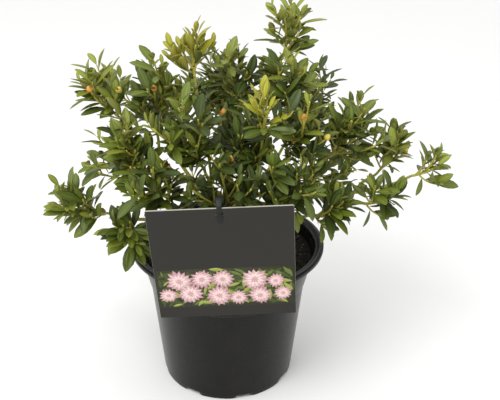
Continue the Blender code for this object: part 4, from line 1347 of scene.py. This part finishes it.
def make_limbs():
    """Trunk and boughs in bark: the source's tapers, with ridges and leaf scars that fade at both ends.

    The ridges are two sines of the turn round the limb and the run along it. Each leaf scar is a bell curve
    of the run, times a raised cosine of the turn, so it stands out on one side.
    """
    names = list(LIMBS)
    shares = np.linspace(0.0, 1.0, LIMB_ROWS)
    paths = []
    radii = []
    for name in names:
        path, thick = LIMBS[name]
        if name == "trunk":
            spots = respaced(np.column_stack([path, thick]), 3, shares)
            paths.append(spots[:, :3])
            radii.append(spots[:, 3])
        else:
            paths.append(through(path[None], LIMB_ROWS)[0])
            radii.append(np.linspace(thick[0], thick[-1], LIMB_ROWS))
    paths = np.array(paths)
    radii = np.array(radii)
    lengths = np.linalg.norm(np.diff(paths, axis=1), axis=-1).sum(axis=1)
    run = shares * lengths[:, None]
    turn = np.arange(LIMB_COLUMNS) * tau / LIMB_COLUMNS
    phase = np.arange(len(names))[:, None, None] * LIMB_PHASE
    spiral = run[:, :, None] * RIDGE_WINDING
    (few, heavy), (many, light) = RIDGES
    ridges = heavy * np.sin(few * turn + phase + spiral)
    ridges = ridges + light * np.sin(many * turn - phase - RIDGE_WINDING_BACK * spiral)
    scars = np.exp(-(((run / SCAR_SPACING) % 1.0 - 0.5) / SCAR_WIDTH) ** 2)[:, :, None]
    scar_turn = GOLDEN_TURN * np.floor(run / SCAR_SPACING)[:, :, None] + phase
    scars = scars * (0.5 + 0.5 * np.cos(turn - scar_turn))
    inner = np.clip(np.minimum(shares, 1 - shares) / RELIEF_FADE, 0.0, 1.0)[None, :, None]
    relief = 1.0 + (RIDGE_SHARE * ridges + SCAR_SHARE * scars) * inner
    limbs = swept("limbs", paths, radii[:, :, None] * relief, LIMB_COLUMNS, [bark_finish()])
    age = np.clip((radii - GREEN_RADIUS) / (BROWN_RADIUS - GREEN_RADIUS), 0.0, 1.0)
    age = np.concatenate([age[:, :1], np.repeat(age, LIMB_COLUMNS, axis=1), age[:, -1:]], axis=1)
    marks = limbs.data.attributes.new("age", "FLOAT", "POINT")
    marks.data.foreach_set("value", age.reshape(-1).astype(np.float32))
    settle(limbs, "brown_bark", *[name if name == "trunk" else "bough_" + name for name in names])


def make_twigs(twigs, foliage_nodes):
    """All the twigs: tapering tubes on smooth curves through the grown points."""
    paths = through(np.array([path for path, *radii in twigs]), TWIG_ROWS)
    ends = np.array([radii for path, *radii in twigs])
    radii = between((ends[:, :1], ends[:, 1:]), np.linspace(0.0, 1.0, TWIG_ROWS))
    colours = ((150, 148, 50), (194, 186, 80))
    finish = mottled("green_twig", 0.0030, 3.0, (0.3, 0.75), colours, (0.5, 0.1), (0.0002, 0.5))
    piece = swept("twigs", paths, radii[:, :, None], TWIG_COLUMNS, [finish])
    settle(piece, "green_leaf", *foliage_nodes)


# Rows and ring of a leaf: shares of its length, and for each column its place across, how far it stands
# above the middle of the leaf's thickness, and which of the three finishes the faces up to the next one have
LEAF_RUN = np.array([0.06, 0.20, 0.40, 0.60, 0.80, 0.94])
LEAF_ACROSS = np.array([1.0, 0.5, 0.1, -0.1, -0.5, -1.0, 0.0])
LEAF_ABOVE = np.array([0.0, 1.0, 0.6, 0.6, 1.0, 0.0, -1.0])
LEAF_SLOTS = (0, 0, 1, 0, 0, 2, 2)


def make_leaves(kind, leaves, foliage_nodes):
    """All leaves of one kind: folded at the midrib, and drooping by the square of the run from the root.

    The half-breadth goes as one power of the run from the root times another of the rest to the tip.
    """
    name, *displays = LEAF_KINDS[kind]
    roots, directions, normals, lengths = (np.array([leaf[k] for leaf in leaves]) for k in range(4))
    across = np.cross(normals, directions)
    rising, falling = LEAF_OUTLINE_POWERS
    outline = LEAF_RUN**rising * (1 - LEAF_RUN) ** falling
    half = outline / outline.max() * LEAF_BREADTH / 2
    aside = half[:, None] * LEAF_ACROSS
    lift = LEAF_FOLD * np.abs(aside) * 2 - LEAF_DROOP * (LEAF_RUN**2)[:, None]
    thick = LEAF_THICK / 2 * LEAF_ABOVE
    grids = (
        roots[:, None, None]
        + (LEAF_RUN * lengths[:, None])[..., None, None] * directions[:, None, None]
        + (aside * lengths[:, None, None])[..., None] * across[:, None, None]
        + (lift * lengths[:, None, None] + thick)[..., None] * normals[:, None, None]
    )
    tips = roots + directions * lengths[:, None] - normals * LEAF_DROOP * lengths[:, None]
    finishes = []
    for (side, roughness), display in zip(LEAF_SIDES, displays):
        finishes.append(leaf_finish(side + name, display, roughness))
    piece = loft("leaves_" + name, roots, grids, tips, finishes, LEAF_SLOTS)
    settle(piece, "young_leaf" if kind == YOUNG_KIND else "green_leaf", *foliage_nodes)


def make_buds(twigs):
    """Buds at chosen twig ends: egg shapes, the radius a power of the sine of a power of the run."""
    ends = np.array([along(path, 1.0) for path, *radii in twigs])
    tips, headings = ends[:, 0], ends[:, 1]
    eye = np.array(CAMERA_PLACE)
    seen = eye + (tips - eye) * (eye[1] / (eye[1] - tips[:, 1]))[:, None]
    places = np.array(BUDS)
    off = np.linalg.norm(places[:, None, :2] - seen[None][:, :, [0, 2]], axis=-1)
    chosen = (off + BUD_NEARNESS * tips[:, 1]).argmin(axis=1)
    share = np.array(BUD_ROWS)
    inner, outer = BUD_PROFILE_POWERS
    profile = np.sin(np.pi * share**inner) ** outer * BUD_RADIUS
    for colour, is_yellow in (("orange", False), ("yellow", True)):
        borne = chosen[places[:, 2] == is_yellow]
        starts = tips[borne]
        ways = unit_rows(headings[borne] + UP * BUD_LIFT)
        paths = starts[:, None] + ways[:, None] * (BUD_LENGTH * share)[:, None]
        radii = np.broadcast_to(profile[:, None], (len(starts), len(share), 1))
        shades = BUD_COLOURS[colour]
        finish = mottled("bud_" + colour, 0.0016, 2.0, (0.0, 1.0), shades, (0.42, 0.1), (0.0002, 0.5))
        rings = rings_round(paths, radii, BUD_COLUMNS)
        piece = loft("buds_" + colour, starts, rings, starts + ways * BUD_LENGTH, [finish])
        settle(piece, "young_leaf")


def make_shrub():
    """Limbs, twigs, leaves and buds."""
    foliage_nodes = [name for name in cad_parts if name.startswith("foliage_")]
    masses = [grow_mass(index) for index in range(len(MASSES))]
    make_limbs()
    every_twig = [twig for twigs, leaves in masses for twig in twigs]
    make_twigs(every_twig, foliage_nodes)
    every_leaf = [leaf for twigs, leaves in masses for leaf in leaves]
    for kind in range(len(LEAF_KINDS)):
        make_leaves(kind, [leaf for leaf in every_leaf if leaf[4] == kind], foliage_nodes)
    make_buds(every_twig)


# The studio


def make_studio():
    """A pale floor, an even sky, one large soft light and the camera at the photograph's angle."""
    scene = bpy.context.scene
    scene.view_settings.view_transform = "Standard"
    corners = np.array([(-1, -1, 0), (1, -1, 0), (1, 1, 0), (-1, 1, 0)]) * FLOOR_SIZE / 2 - UP * GAP
    pale = Finish("pale_floor").done(base_color=shade(FLOOR_COLOUR), roughness=0.8)
    floor = new_piece("floor", corners, [(0, 1, 2, 3)], [pale])
    world = bpy.data.worlds.new("studio")
    scene.world = world
    world.use_nodes = True
    sky = world.node_tree.nodes["Background"]
    sky.inputs["Color"].default_value = (1.0, 1.0, 1.0, 1.0)
    sky.inputs["Strength"].default_value = WORLD_STRENGTH
    light = bpy.data.lights.new("key_light", "AREA")
    light.shape = "SQUARE"
    light.size = LIGHT_SIZE
    light.energy = LIGHT_POWER
    lamp = bpy.data.objects.new("key_light", light)
    lamp.location = LIGHT_PLACE
    lamp.rotation_euler = (Vector(LIGHT_AIM) - Vector(LIGHT_PLACE)).to_track_quat("-Z", "Y").to_euler()
    scene.collection.objects.link(lamp)
    view = bpy.data.cameras.new("camera")
    view.sensor_width = SENSOR_WIDTH
    view.lens = CAMERA_LENS
    camera = bpy.data.objects.new("camera", view)
    camera.matrix_world = (
        Matrix.Translation(CAMERA_PLACE)
        @ Matrix.Rotation(CAMERA_TILT, 4, "X")
        @ Matrix.Rotation(CAMERA_ROLL, 4, "Z")
    )
    scene.collection.objects.link(camera)
    scene.camera = camera


make_pot()
litter_rng = np.random.default_rng(LITTER_SEED)
make_compost(litter_rng)
make_litter(litter_rng)
make_card()
make_print(np.random.default_rng(PRINT_SEED))
make_tie()
make_shrub()
make_studio()
